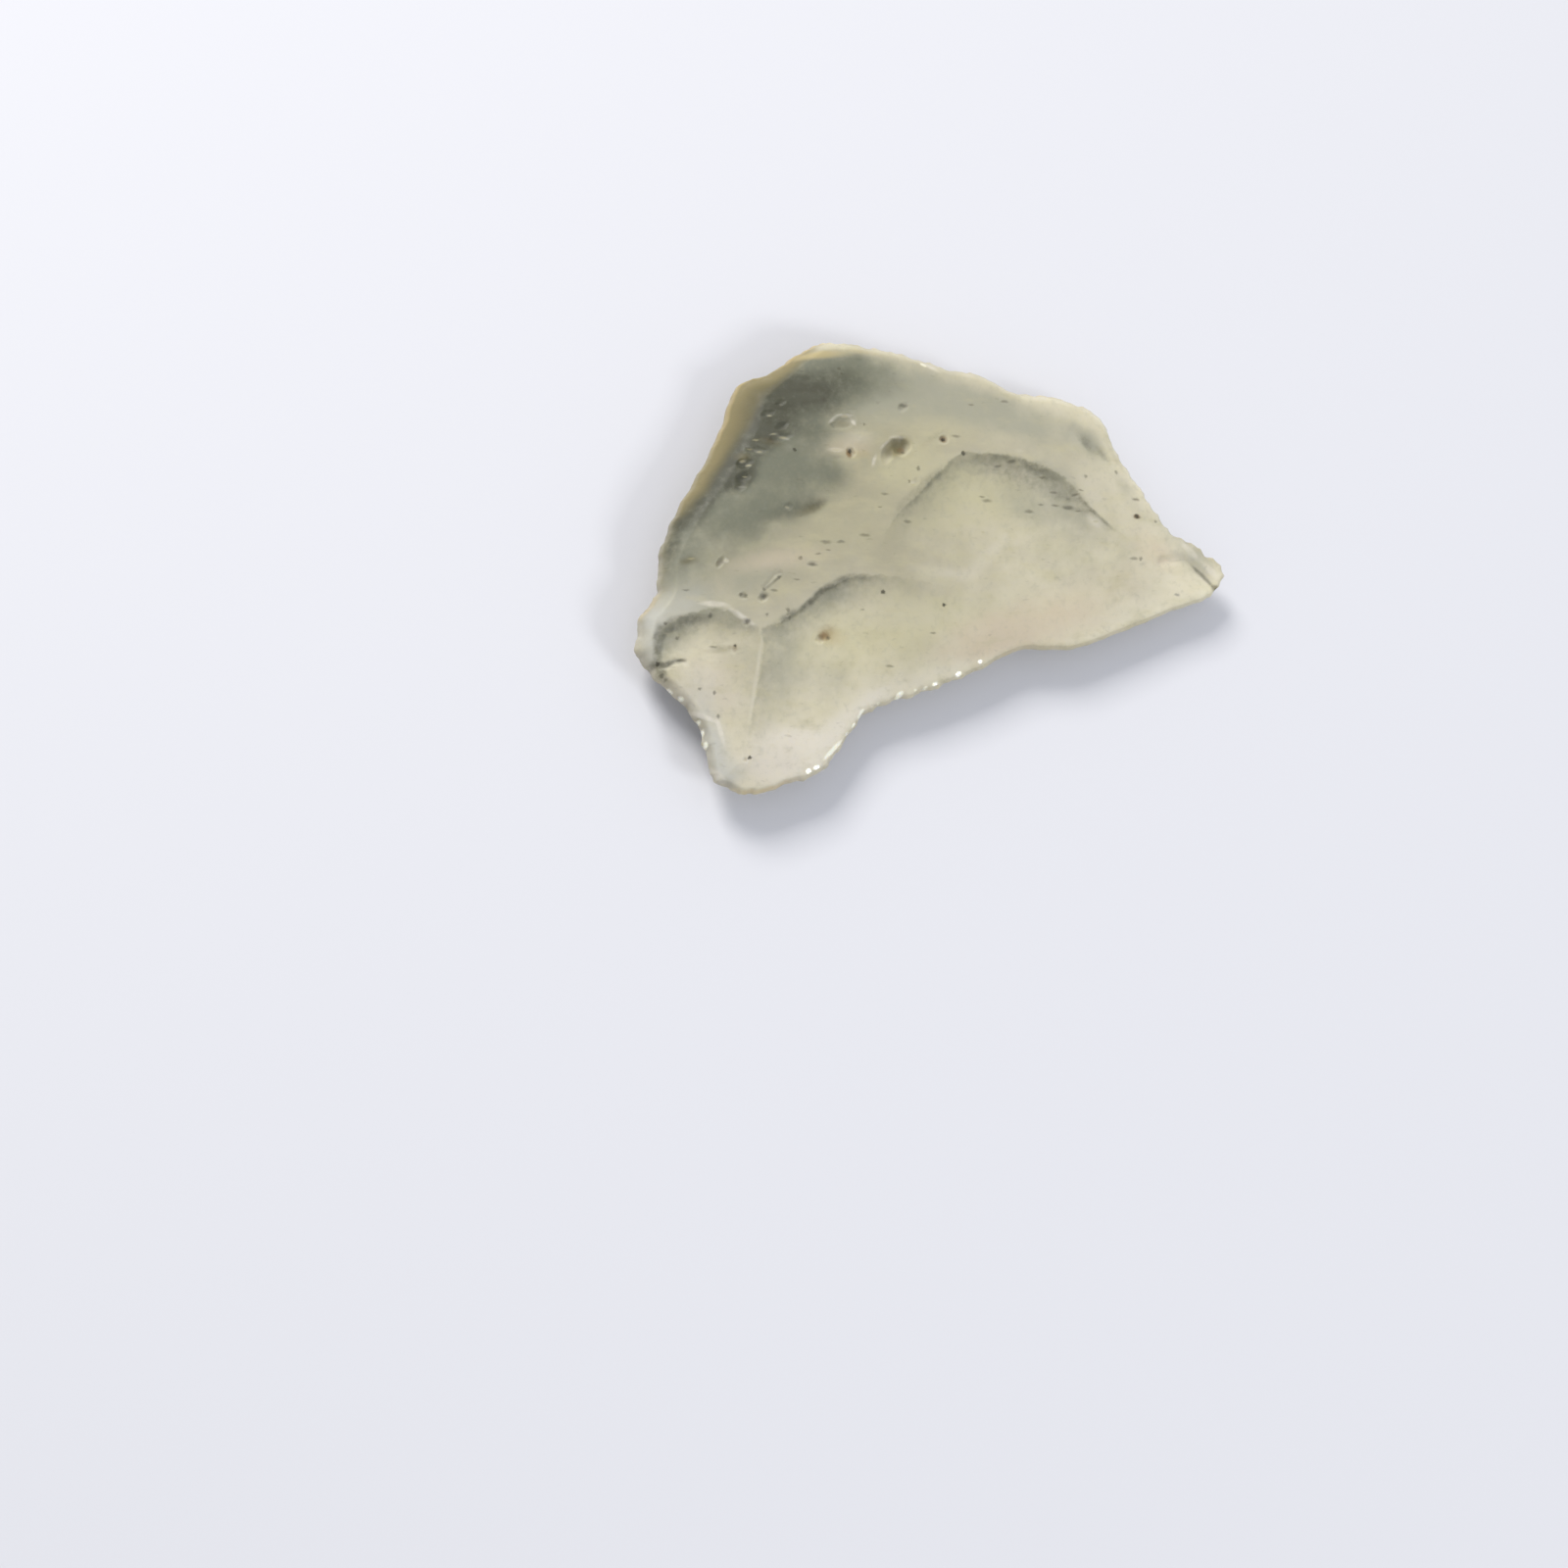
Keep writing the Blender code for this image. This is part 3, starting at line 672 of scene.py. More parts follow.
sheets = [make_sheet(UPPER_CELLS, 0, upper_face),
          make_sheet(UPPER_CELLS // BELLY_SHARE, BELLY_SHARE - 1, belly)]

# %% [markdown]
# ## The stone
#
# Both sheets go into one mesh and are merged along the rim, so the stone is one closed skin.
# Points that stand out of the solid's box are moved onto its sides. The masks stay on the
# points as attributes, because they follow the surface and the shader can read them.

# %% Stone
MERGE_GAP = 0.002


def make_stone():
    work = bmesh.new()
    for sheet in sheets:
        work.from_mesh(sheet)
    bmesh.ops.remove_doubles(work, verts=work.verts, dist=MERGE_GAP * MM)
    bmesh.ops.recalc_face_normals(work, faces=work.faces)
    low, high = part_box("desert_glass")
    for vert in work.verts:
        vert.co = [min(max(c, a), b) for c, a, b in zip(vert.co, low, high)]
    bmesh.ops.triangulate(work, faces=work.faces)
    open_edges = sum(not e.is_manifold for e in work.edges)
    print(len(work.faces), "triangles,", open_edges, "open edges,",
          round(work.calc_volume() / MM**3), "mm3")
    mesh = bpy.data.meshes.new("stone")
    work.to_mesh(mesh)
    work.free()
    mesh.shade_smooth()
    stone = bpy.data.objects.new("stone", mesh)
    bpy.context.scene.collection.objects.link(stone)
    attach(stone, "root")
    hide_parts("desert_glass")
    return stone


stone = make_stone()

# %% [markdown]
# ## Arithmetic for the shader
#
# A finish is arithmetic on masks. This small class wraps a node's output so that plain Python
# expressions add the Math nodes, and one method adds any other node.

# %% Shader arithmetic
class Wire:
    """One output in a material's node tree. Sums with it add Math nodes to that tree."""

    def __init__(self, tree, socket=None):
        self.tree = tree
        self.socket = socket

    def add(self, kind, settings=None, inputs=None, output=0):
        """A new node: its settings come first, then its sockets' values or wires."""
        node = self.tree.nodes.new("ShaderNode" + kind)
        for name, value in (settings or {}).items():
            setattr(node, name, value)
        for name, value in (inputs or {}).items():
            if isinstance(value, Wire):
                self.tree.links.new(value.socket, node.inputs[name])
            else:
                node.inputs[name].default_value = value
        return Wire(self.tree, node.outputs[output])

    def math(self, operation, *values):
        return self.add("Math", {"operation": operation}, dict(enumerate(values)))

    def __add__(self, other):
        return self.math("ADD", self, other)

    def __sub__(self, other):
        return self.math("SUBTRACT", self, other)

    def __rsub__(self, other):
        return self.math("SUBTRACT", other, self)

    def __mul__(self, other):
        return self.math("MULTIPLY", self, other)

    __radd__ = __add__
    __rmul__ = __mul__

    def distance(self, other):
        return self.add("VectorMath", {"operation": "DISTANCE"}, {0: self, 1: other}, 1)

    def least(self, other):
        return self.math("MINIMUM", self, other)

    def ramp(self, start, end):
        """0 before start, 1 past end, and a soft step between; start may be the higher one."""
        steps = {"Value": self, "From Min": start, "From Max": end}
        return self.add("MapRange", {"interpolation_type": "SMOOTHSTEP"}, steps)

    def blend(self, under, over):
        """The colour under, going over to the colour over where this mask is 1."""
        return self.add("Mix", {"data_type": "RGBA"}, {0: self, 6: under, 7: over}, 2)


def rgb(red, green, blue):
    """A colour from screen values of 0 to 255."""
    linear = [(c / 255 / 12.92) if c <= 10 else ((c / 255 + 0.055) / 1.055) ** 2.4
              for c in (red, green, blue)]
    return (*linear, 1.0)


print("shader arithmetic ready")

# %% [markdown]
# ## Where the colours lie
#
# Each zone of colour is a few soft ovals: pixels across and down in the photograph, length and
# width in pixels, turn in degrees, strength. A ray finds each one on the surface, so it sits on
# the stone from every side. The high left corner is grey-green, partly the glass's own tone and
# partly painted shade, and the thick worn edge beside it is warm olive. The scooped left and
# lower parts are paler, partly with painted light. Painted shade darkens the scars' walls and
# painted highlights brighten crests and pit lips. The glints of the fresh chips are painted
# highlights too, because the painted points follow the thin rim closely.

# %% Zones of the faces
# A pixel's size on the stone, and how the stone's length is turned in the picture
PIXEL_MM = 0.0525
IMAGE_TURN = -24.5

STRAW_ZONES = [
    (990, 500, 150, 50, -10, 0.8), (890, 650, 200, 70, 8, 0.7), (950, 530, 110, 40, 0, 0.4),
    (960, 430, 170, 50, 5, 0.5), (860, 540, 90, 60, 0, 0.4), (920, 480, 70, 40, 30, 0.6),
    (1080, 560, 90, 30, -20, 0.4), (970, 620, 90, 20, 0, 0.4),
]
# Several grey ovals are painted shade, on the scars' walls and beside the ridge between the left
# scars
GREY_ZONES = [
    (940, 400, 170, 50, -8, 0.9), (1035, 430, 120, 40, -10, 0.7), (900, 420, 90, 40, 0, 0.6),
    (1075, 490, 70, 40, -45, 0.5), (740, 625, 70, 20, -15, 0.4), (690, 650, 50, 40, 40, 0.4),
    (850, 610, 70, 30, 20, 0.4), (800, 665, 40, 70, 10, 0.35), (775, 765, 30, 30, 0, 0.2),
    (760, 600, 90, 30, 20, 0.4), (664, 640, 30, 100, 0, 0.5), (690, 600, 70, 50, 30, 0.8),
    (690, 622, 50, 26, 30, 0.8), (780, 575, 70, 30, 20, 0.4), (1110, 452, 40, 26, -40, 0.6),
    (1215, 562, 80, 40, -40, 0.6),
    (725, 768, 26, 60, 15, 0.35), (1150, 500, 60, 20, -57, 0.4), (1090, 440, 70, 40, -30, 0.2),
    (1110, 575, 170, 80, -20, 0.3), (1062, 520, 110, 36, -15, 0.5), (795, 695, 90, 34, 81, 0.35),
    (845, 692, 60, 60, 0, 0.33), (745, 672, 50, 30, 0, 0.28),
]
# The pale ovals are partly painted light: thin low parts lit through from the table, lit
# shoulders and lips
PALE_ZONES = [
    (715, 700, 60, 50, 60, 0.4), (726, 770, 20, 70, 15, 0.3), (1112, 498, 60, 30, -50, 0.3),
    (802, 770, 96, 56, 10, 0.85), (960, 584, 80, 14, -3, 0.3), (1010, 565, 80, 18, 45, 0.3),
    (870, 730, 120, 24, 40, 0.5), (756, 715, 30, 50, 75, 0.3), (910, 625, 110, 40, 0, 0.25),
    (1118, 532, 22, 10, -30, 0.5), (870, 445, 50, 18, 0, 0.3), (950, 690, 120, 14, 22, 0.3),
]
PINKISH_ZONES = [
    (1040, 642, 160, 46, 12, 0.75), (790, 775, 100, 50, 15, 0.35), (1130, 600, 150, 50, 15, 0.3),
    (725, 700, 70, 70, 70, 0.4), (1180, 560, 60, 30, -30, 0.5), (850, 455, 80, 20, 0, 0.5),
    (790, 570, 110, 24, 8, 0.5), (1000, 660, 100, 20, 14, 0.5),
]
print(len(STRAW_ZONES) + len(GREY_ZONES), "ovals of straw and grey")

# %% Crest highlights, grey-green glass and painted shade
# Painted highlights on crests, on the tip's lip and on the lips of pits
CREST_HIGHLIGHTS = [
    (728, 616, 30, 6, -4, 0.6), (757, 629, 34, 6, -32, 0.6), (1214, 562, 30, 8, -40, 0.5),
    (1236, 583, 26, 8, -40, 0.6), (718, 731, 30, 5, -25, 0.7), (735, 746, 5, 28, 15, 0.6),
    (950, 375, 22, 5, -25, 0.5), (733, 792, 8, 22, 40, 0.5), (892, 470, 14, 4, 70, 0.5),
    (903, 453, 16, 4, 42, 0.4), (916, 446, 18, 4, 0, 0.4), (850, 428, 14, 4, 40, 0.5),
    (862, 424, 18, 4, 0, 0.5), (871, 431, 10, 4, -60, 0.5), (853, 459, 18, 5, 0, 0.5),
    (799, 447, 16, 4, -20, 0.3), (789, 443, 10, 3, 10, 0.25), (773, 461, 12, 4, -30, 0.3),
    (764, 456, 8, 3, -10, 0.25), (758, 471, 8, 4, 20, 0.35), (764, 475, 7, 3, -30, 0.3),
    (797, 413, 5, 3, 0, 0.25), (785, 424, 7, 3, 0, 0.25), (757, 497, 10, 3, 0, 0.3),
    (803, 518, 5, 4, 0, 0.35), (741, 572, 6, 5, 0, 0.5), (1040, 460, 12, 4, 0, 0.3),
    (771, 696, 100, 4.5, 81, 0.35),
    (931, 493, 9, 4, 30, 0.4), (805, 457, 12, 10, 0, 0.2),
]
# Grey-green glass, partly the glass's own tone and partly painted shade
SMOKY_AND_SHADED_ZONES = [
    (800, 440, 150, 90, 45, 0.85), (735, 520, 150, 70, 58, 0.6), (880, 388, 120, 40, 2, 0.5),
    (830, 392, 110, 50, 6, 0.85), (795, 515, 110, 44, 22, 0.7), (842, 480, 56, 30, -10, 0.6),
    (690, 560, 50, 40, 65, 0.6), (702, 520, 70, 30, 56, 0.6), (766, 460, 80, 50, 55, 0.8),
    (770, 560, 80, 30, 20, 0.25), (785, 412, 80, 50, 55, 0.8), (735, 475, 110, 40, 58, 0.7),
    (855, 370, 110, 24, 5, 0.6), (728, 498, 110, 34, 57, 0.3),
]
# The darkest ovals are painted shade; some darken the rounded edge where the lamp lights it
DARKEST_ZONES = [
    (820, 402, 70, 40, -15, 0.8), (790, 428, 60, 36, 50, 0.75), (775, 455, 50, 26, 45, 0.5),
    (756, 486, 36, 24, 40, 0.8), (855, 388, 70, 36, 0, 0.5), (712, 508, 50, 12, 52, 0.5),
    (795, 400, 50, 40, 40, 0.4), (822, 438, 40, 24, 0, 0.35), (765, 440, 50, 16, 60, 0.3),
    (694, 530, 30, 12, 60, 0.6), (806, 520, 60, 18, 20, 0.35), (832, 516, 24, 12, 25, 0.4),
    (842, 482, 40, 20, -20, 0.15), (775, 435, 20, 16, 0, 0.5), (684, 560, 30, 16, 70, 0.5),
    (745, 470, 24, 12, 60, 0.5), (735, 540, 60, 12, 45, 0.1), (725, 480, 40, 10, 60, 0.4),
    (743, 480, 60, 22, 58, 0.6), (713, 518, 60, 24, 56, 0.6), (767, 424, 50, 14, 57, 0.55),
    (747, 456, 50, 14, 57, 0.5), (726, 490, 50, 14, 57, 0.4),
]
WORN_EDGE = [
    (762, 395, 70, 60, 40, 0.75), (745, 425, 70, 60, 66, 0.7), (725, 465, 60, 60, 62, 0.4),
    (705, 500, 50, 50, 60, 0.35), (800, 372, 50, 50, 25, 0.4),
]
print(len(SMOKY_AND_SHADED_ZONES) + len(DARKEST_ZONES), "ovals of smoke")

# %% Warm and cool marks
OLIVE_ZONES = [
    (787, 452, 36, 10, -15, 0.35), (757, 466, 16, 10, 0, 0.6), (826, 520, 34, 10, 20, 0.4),
    (913, 457, 30, 16, 28, 0.9), (737, 663, 34, 8, 5, 0.4), (705, 571, 14, 8, 0, 0.5),
    (860, 433, 22, 9, 0, 0.4), (697, 574, 10, 6, 0, 0.4), (1140, 470, 40, 8, -57, 0.3),
]
COOL_ZONES = [
    (690, 618, 60, 30, 25, 0.45), (662, 650, 24, 90, 0, 0.6), (725, 765, 34, 84, 15, 0.8),
    (715, 700, 50, 50, 60, 0.35), (748, 790, 40, 24, 20, 0.4), (800, 772, 70, 40, 10, 0.25),
    (705, 560, 50, 30, 60, 0.2),
]
WARM_ZONES = [
    (836, 362, 56, 9, 6, 0.8), (885, 360, 50, 6, -8, 0.35),
    (848, 650, 34, 18, 0, 0.5), (878, 463, 26, 10, 0, 0.4), (775, 384, 20, 8, 40, 0.5),
]
# A warm line along the edges, partly the thin glass's own tone and partly painted light through
# it
WARM_EDGES = [
    (830, 360, 80, 30, 10, 0.7), (900, 362, 70, 24, -8, 1.0), (955, 376, 60, 24, -25, 0.8),
    (1010, 396, 90, 24, -15, 0.6), (1080, 408, 70, 24, -20, 0.7), (1115, 428, 50, 24, -50, 1.0),
    (1147, 475, 110, 24, -57, 1.0), (1185, 528, 50, 24, -50, 0.7), (1222, 565, 60, 20, -40, 0.4),
    (780, 806, 60, 20, 12, 0.6), (657, 620, 30, 40, 60, 0.5), (740, 420, 90, 24, 66, 0.5),
]
print(len(WARM_EDGES), "ovals along the warm edges")

# %% Shades, stains and glints
# Painted shade on the scars' walls, in cracks and grooves and inside pits
WALL_SHADES = [
    (672, 658, 9, 34, 0, 0.9), (681, 641, 26, 12, 45, 0.9), (695, 633, 24, 9, 25, 0.8),
    (710, 631, 20, 8, 5, 0.5), (683, 677, 28, 5, 15, 0.8), (676, 687, 9, 12, 0, 0.6),
    (667, 678, 10, 6, 0, 0.6), (948, 491, 54, 12, 42, 0.5), (922, 519, 40, 18, 45, 0.3),
    (1010, 466, 46, 7, 0, 0.35), (1045, 472, 46, 9, -18, 0.45), (1072, 484, 50, 14, -40, 0.2),
    (1098, 499, 30, 10, -50, 0.3), (1118, 524, 44, 3.5, -38, 0.6), (1094, 519, 30, 5, -8, 0.4),
    (805, 628, 30, 7, 30, 0.7), (829, 612, 34, 7, 42, 0.7), (852, 596, 36, 8, 28, 0.7),
    (878, 590, 40, 7, 0, 0.4), (1202, 572, 20, 3, 10, 0.4), (1228, 589, 36, 4, -38, 0.9),
    (1240, 601, 9, 6, 0, 0.9), (1109, 453, 26, 13, -50, 0.5), (1124, 463, 18, 8, -50, 0.45),
    (955, 444, 30, 7, 30, 0.3), (788, 595, 24, 3, 40, 0.9), (676, 679, 10, 5, 0, 0.8),
    (1045, 490, 60, 20, -15, 0.2), (1085, 508, 30, 8, -10, 0.4), (1010, 480, 40, 10, 10, 0.1),
    (740, 634, 46, 10, -10, 0.3), (921, 415, 14, 6, 12, 0.5), (779, 609, 11, 7, 20, 0.6),
    (758, 607, 9, 6, 30, 0.5), (763, 634, 8, 6, 0, 0.6), (829, 576, 12, 5, -8, 0.4),
    (841, 408, 8, 4, 0, 0.5), (855, 466, 12, 4, 0, 0.4), (849, 434, 4, 9, 20, 0.5),
    (910, 450, 20, 5, 25, 0.7), (921, 452, 5, 12, 15, 0.5), (725, 628, 6, 4, 0, 0.5),
    (736, 574, 12, 5, 25, 0.5),
    (1190, 552, 30, 10, -30, 0.15), (706, 735, 6, 26, 30, 0.3), (697, 722, 16, 5, -30, 0.3),
    (700, 641, 30, 16, 25, 0.35), (1075, 500, 60, 26, -35, 0.15), (1030, 488, 70, 22, -8, 0.2),
]
STAINS = [
    (866, 463, 6, 9, 15, 1.0), (919, 460, 9, 9, 0, 0.5), (962, 449, 8, 7, 0, 0.9),
    (841, 649, 10, 9, 0, 0.75), (845, 645, 20, 16, 0, 0.35), (750, 661, 5, 9, 0, 0.5),
    (1160, 527, 8, 5, 10, 0.9), (735, 574, 10, 5, 25, 0.3), (945, 453, 30, 7, 35, 0.2),
    (787, 450, 26, 7, -15, 0.2), (1159, 510, 11, 5, 0, 0.3),
]
GLINTS = [
    (1000, 675, 5, 4, 0, 0.9), (978, 688, 7, 5, 30, 1.0), (954, 698, 6, 4, 20, 0.9),
    (944, 702, 5, 3, 20, 0.6), (934, 704, 4, 3, 20, 0.5), (918, 709, 9, 5, 45, 1.0),
    (896, 718, 4, 3, 0, 0.5), (878, 729, 11, 4, 60, 1.0), (871, 740, 6, 3, 50, 0.8),
    (864, 749, 5, 3, 45, 0.7), (850, 765, 26, 4, 45, 1.0), (833, 783, 7, 4, 20, 0.9),
    (825, 787, 6, 5, 0, 1.0), (695, 713, 6, 3, -40, 0.7), (682, 706, 8, 3, -40, 0.6),
    (712, 738, 4, 5, 0, 0.7), (716, 749, 3, 7, 0, 0.7), (720, 761, 4, 7, 0, 0.7),
    (942, 373, 7, 4, -25, 0.9),
]

# Each zone's name, the softness of its ovals' edges, and its ovals
ZONES = {"straw": (0.9, STRAW_ZONES), "grey": (0.9, GREY_ZONES), "pale": (0.9, PALE_ZONES),
         "pinkish": (0.9, PINKISH_ZONES), "crest_highlight": (0.6, CREST_HIGHLIGHTS),
         "smoky_and_shaded": (0.8, SMOKY_AND_SHADED_ZONES), "darkest": (0.8, DARKEST_ZONES),
         "olive": (0.9, OLIVE_ZONES), "worn edge": (0.9, WORN_EDGE), "cool": (0.9, COOL_ZONES),
         "warm": (0.8, WARM_ZONES), "shade": (0.9, WALL_SHADES),
         "stain": (0.7, STAINS), "warm edge": (0.5, WARM_EDGES), "glint": (0.5, GLINTS)}
print(sum(len(marks) for _, marks in ZONES.values()), "ovals in all")


# %% Painting
def on_stone(across, down):
    """The point of the stone that a pixel of the photograph shows, in mm, or just off its rim."""
    hit, place, _, _ = stone.ray_cast(CAMERA_PLACE * MM, view_ray(across, down))
    return tuple(place / MM)[:2] if hit else at_height(across, down, RIM_HEIGHT)


def paint(name, soft, marks):
    """Keeps a mask on the upper face's points: several soft ovals laid over each other."""
    mesh = stone.data
    places = np.empty(len(mesh.vertices) * 3)
    mesh.vertices.foreach_get("co", places)
    points = places.reshape(-1, 3)[:, :2] / MM
    upper = np.empty(len(points), np.float32)
    mesh.attributes["upper"].data.foreach_get("value", upper)
    bare = np.ones(len(points))
    for across, down, length, width, turn, strength in marks:
        x, y = on_stone(across, down)
        angle = math.radians(turn + IMAGE_TURN)
        c, s = math.cos(angle), math.sin(angle)
        dx, dy = points[:, 0] - x, points[:, 1] - y
        reach = np.hypot((c * dx + s * dy) / length, (c * dy - s * dx) / width) * 2 / PIXEL_MM
        share = np.clip((1 + soft - reach) / (2 * soft), 0, 1)
        bare *= 1 - strength * share * share * (3 - 2 * share)
    layer = mesh.attributes.new(name, "FLOAT", "POINT")
    layer.data.foreach_set("value", ((1 - bare) * upper).astype(np.float32))


# A ray meets the mesh only once the scene is up to date
bpy.context.view_layer.update()
for name, (soft, marks) in ZONES.items():
    paint(name, soft, marks)
print("the photograph's middle of the stone is at", np.round(on_stone(950, 580), 1), "mm")
print(len(ZONES), "zones painted")

# %% [markdown]
# ## Specks
#
# Small dark specks, and bright glints that are painted highlights on the lips of small pits, are
# finer than the mesh, so the shader draws them. Each is pixels across and down in the
# photograph and a size in pixels. Dots are round. Dashes are drawn out along the flow of the
# glass, which is a round spot in a turned and squeezed frame.

# %% Specks
DASH_STRETCH = 2.8
STRONG_DOTS = [
    (983, 462, 5.4), (901, 604, 4.6), (765, 773, 4.0), (963, 617, 3.8), (1160, 527, 5),
    (867, 461, 4.4), (811, 459, 4), (962, 449, 4), (671, 678, 4), (1240, 602, 3.6),
    (750, 659, 4),
]
DARK_DOTS = [
    (725, 628, 4), (763, 634, 5), (937, 478, 4), (928, 491, 3), (817, 569, 4),
    (780, 609, 5), (756, 607, 3.6), (761, 608, 4), (1108, 486, 4), (1139, 482, 4),
    (729, 707, 3.8), (714, 703, 3), (733, 731, 3.6), (783, 627, 3.5), (804, 622, 4),
    (806, 630, 4), (856, 376, 3.5), (859, 381, 3), (841, 408, 5), (882, 433, 3), (675, 690, 4),
    (679, 694, 3.5), (691, 651, 4), (679, 636, 3), (1179, 532, 3.5), (1164, 570, 4),
    (780, 601, 3.4), (795, 589, 3.6), (921, 462, 4), (845, 651, 3.4),
]
DARK_DASHES = [
    (952, 646, 7), (908, 680, 9), (728, 660, 8), (903, 504, 8), (898, 517, 5), (926, 532, 10),
    (882, 546, 11), (843, 553, 12), (858, 553, 9), (1002, 507, 7), (1007, 511, 12), (991, 413, 7),
    (1025, 410, 10), (835, 565, 7), (829, 576, 10), (813, 591, 7), (790, 602, 8), (1159, 510, 9),
    (1157, 570, 10), (921, 414, 11), (975, 445, 10), (695, 674, 9), (1161, 528, 9),
    (1090, 518, 12), (1075, 503, 8), (1077, 516, 8), (1018, 476, 8), (1050, 522, 11),
    (1063, 487, 8), (845, 561, 6), (1201, 607, 7), (700, 602, 7), (880, 622, 5), (964, 617, 6),
    (1062, 515, 7), (1097, 505, 8), (1103, 500, 7), (1032, 471, 10), (1100, 522, 7),
]
# Painted glints, the highlights on the lips of small pits
PIT_GLINTS = [
    (799, 447, 8), (765, 458, 6), (775, 461, 6), (757, 471, 6), (764, 475, 6), (803, 518, 5),
    (1003, 543, 5), (741, 572, 5), (853, 459, 8), (931, 494, 6), (1118, 532, 6), (862, 425, 7),
    (738, 643, 5), (705, 570, 7), (785, 424, 5), (789, 443, 5), (760, 487, 5), (771, 449, 6),
]
print(len(STRONG_DOTS) + len(DARK_DOTS) + len(DARK_DASHES), "dark specks,",
      len(PIT_GLINTS), "bright flecks")


def closest(places, spots, stretch):
    """How near the closest of several spots is, counted in its own radius."""
    c, s = math.cos(math.radians(IMAGE_TURN)), math.sin(math.radians(IMAGE_TURN))
    least = None
    for across, down, size in spots:
        x, y = on_stone(across, down)
        if stretch != 1:
            x, y = (c * x + s * y) / stretch, c * y - s * x
        reach = places.distance((x, y, 0)) * (2 * stretch / (size * PIXEL_MM))
        least = reach if least is None else least.least(reach)
    return least


# %% [markdown]
# ## The glass
#
# Light enters the matt skin, scatters in the milky glass and comes out again a little way off,
# so the shader is part subsurface and part rough transmission. Both are plain values. What
# changes over the surface is only the colour, the roughness and a fine bump: ground skin on
# the faces, shinier fresh chips along the edge. The colour is laid on in layers, from the
# body of the glass to single specks, and parts of it are painted light and shade.

# %% Glass colours
# Some of these colours are painted light and shade: the pale one also serves as painted light on
# shoulders, crests and the rim, the wall greys and the grey-greens partly are painted shade, and
# the bright pit and glint colours are painted highlights.
LOW_CREAM = rgb(223, 216, 193)
HIGH_CREAM = rgb(163, 157, 132)
STRAW = rgb(196, 190, 154)
DEEP_STRAW = rgb(184, 177, 144)
GREY = rgb(154, 153, 136)
SMOKE_AND_SHADE = rgb(113, 115, 97)
DEEP_SMOKE_AND_SHADE = rgb(68, 68, 50)
OLIVE = rgb(102, 94, 58)
WARM = rgb(186, 170, 122)
WARM_LINE = rgb(200, 176, 124)
PALE = rgb(226, 220, 208)
PINKISH = rgb(204, 190, 166)
WALL_GREY = rgb(146, 145, 122)
COOL = rgb(184, 185, 180)
WALL_SHADE = rgb(92, 91, 76)
SPECK = rgb(58, 54, 36)
STAIN = rgb(112, 80, 32)
PIT_GLINT = rgb(176, 168, 128)
GLINT = rgb(252, 250, 232)
print("the glass goes from", np.round(LOW_CREAM[:3], 2), "to", np.round(HIGH_CREAM[:3], 2))


# %% Patterns
def noise_at(place, scale, detail=2.0, roughness=0.5):
    """Soft cloudy noise of a given number of clouds per millimetre."""
    return place.add("TexNoise", None, {
        "Vector": place, "Scale": scale, "Detail": detail, "Roughness": roughness})


def wandering(place, scale, amount):
    """The same places pushed about by noise, so that a spot's outline is not a drawn one."""
    cloud = place.add("TexNoise", None, {"Vector": place, "Scale": scale, "Detail": 2.0}, 1)
    swing = place.add("VectorMath", {"operation": "SUBTRACT"}, {0: cloud, 1: (0.5, 0.5, 0)})
    push = {0: swing, 1: (amount, amount, 0), 2: place}
    return place.add("VectorMath", {"operation": "MULTIPLY_ADD"}, push)


class Patterns:
    """The places, noises and masks that the finish of the glass is worked out from."""

    def __init__(self, start):
        metres = start.add("TexCoord", None, None, "Object")
        self.place = start.add("VectorMath", {"operation": "SCALE"}, {0: metres, "Scale": 1 / MM})
        flat = start.add("VectorMath", {"operation": "MULTIPLY"}, {0: self.place, 1: (1, 1, 0)})
        self.height = start.add("SeparateXYZ", None, {"Vector": self.place}, "Z")
        wavy = wandering(flat, 3.0, 0.16)
        self.ragged = wandering(flat, 8.0, 0.20)
        self.flow = start.add("Mapping", {"vector_type": "TEXTURE"}, {
            "Vector": wavy, "Rotation": (0, 0, math.radians(IMAGE_TURN)),
            "Scale": (DASH_STRETCH, 1, 1)})
        self.cloud = noise_at(self.place, 0.7, 4.0, 0.6)
        self.streak = noise_at(self.flow, 1.3, 4.0, 0.6)
        self.grain = noise_at(self.place, 2.6, 3.0, 0.6)
        self.fine = noise_at(self.flow, 6.0, 3.0, 0.6)
        self.from_rim = self.mask("from_rim")
        self.upper = self.mask("upper")

    def mask(self, name):
        """One of the masks kept on the stone's points."""
        return self.place.add("Attribute", {"attribute_name": name}, None, 2)

    def zone(self, name, pattern):
        """A painted zone whose edge wanders with a noise."""
        return (self.mask(name) * (pattern * 1.2 + 0.45)).ramp(0.05, 0.9)


print("patterns ready")


# %% Layers of colour
def body_colour(glass):
    """Cream, greyer where the stone is thick, with straw streaks and the wide zones."""
    # Greyer thick glass is partly its own tone, and lighter thin glass partly painted light from
    # the table
    thick = (glass.height + (glass.cloud - 0.5) * 0.8).ramp(1.8, 4.2)
    colour = thick.blend(LOW_CREAM, HIGH_CREAM)
    colour = (glass.streak.ramp(0.4, 0.7) * 0.3).blend(colour, STRAW)
    for name, strength, over in (("straw", 0.6, STRAW), ("grey", 0.8, GREY), ("pale", 0.8, PALE),
                                 ("pinkish", 0.8, PINKISH), ("cool", 0.7, COOL)):
        colour = (glass.zone(name, glass.cloud) * strength).blend(colour, over)
    streaks = glass.streak.ramp(0.5, 0.75) * glass.cloud.ramp(0.4, 0.6)
    return (streaks * 0.5).blend(colour, DEEP_STRAW)


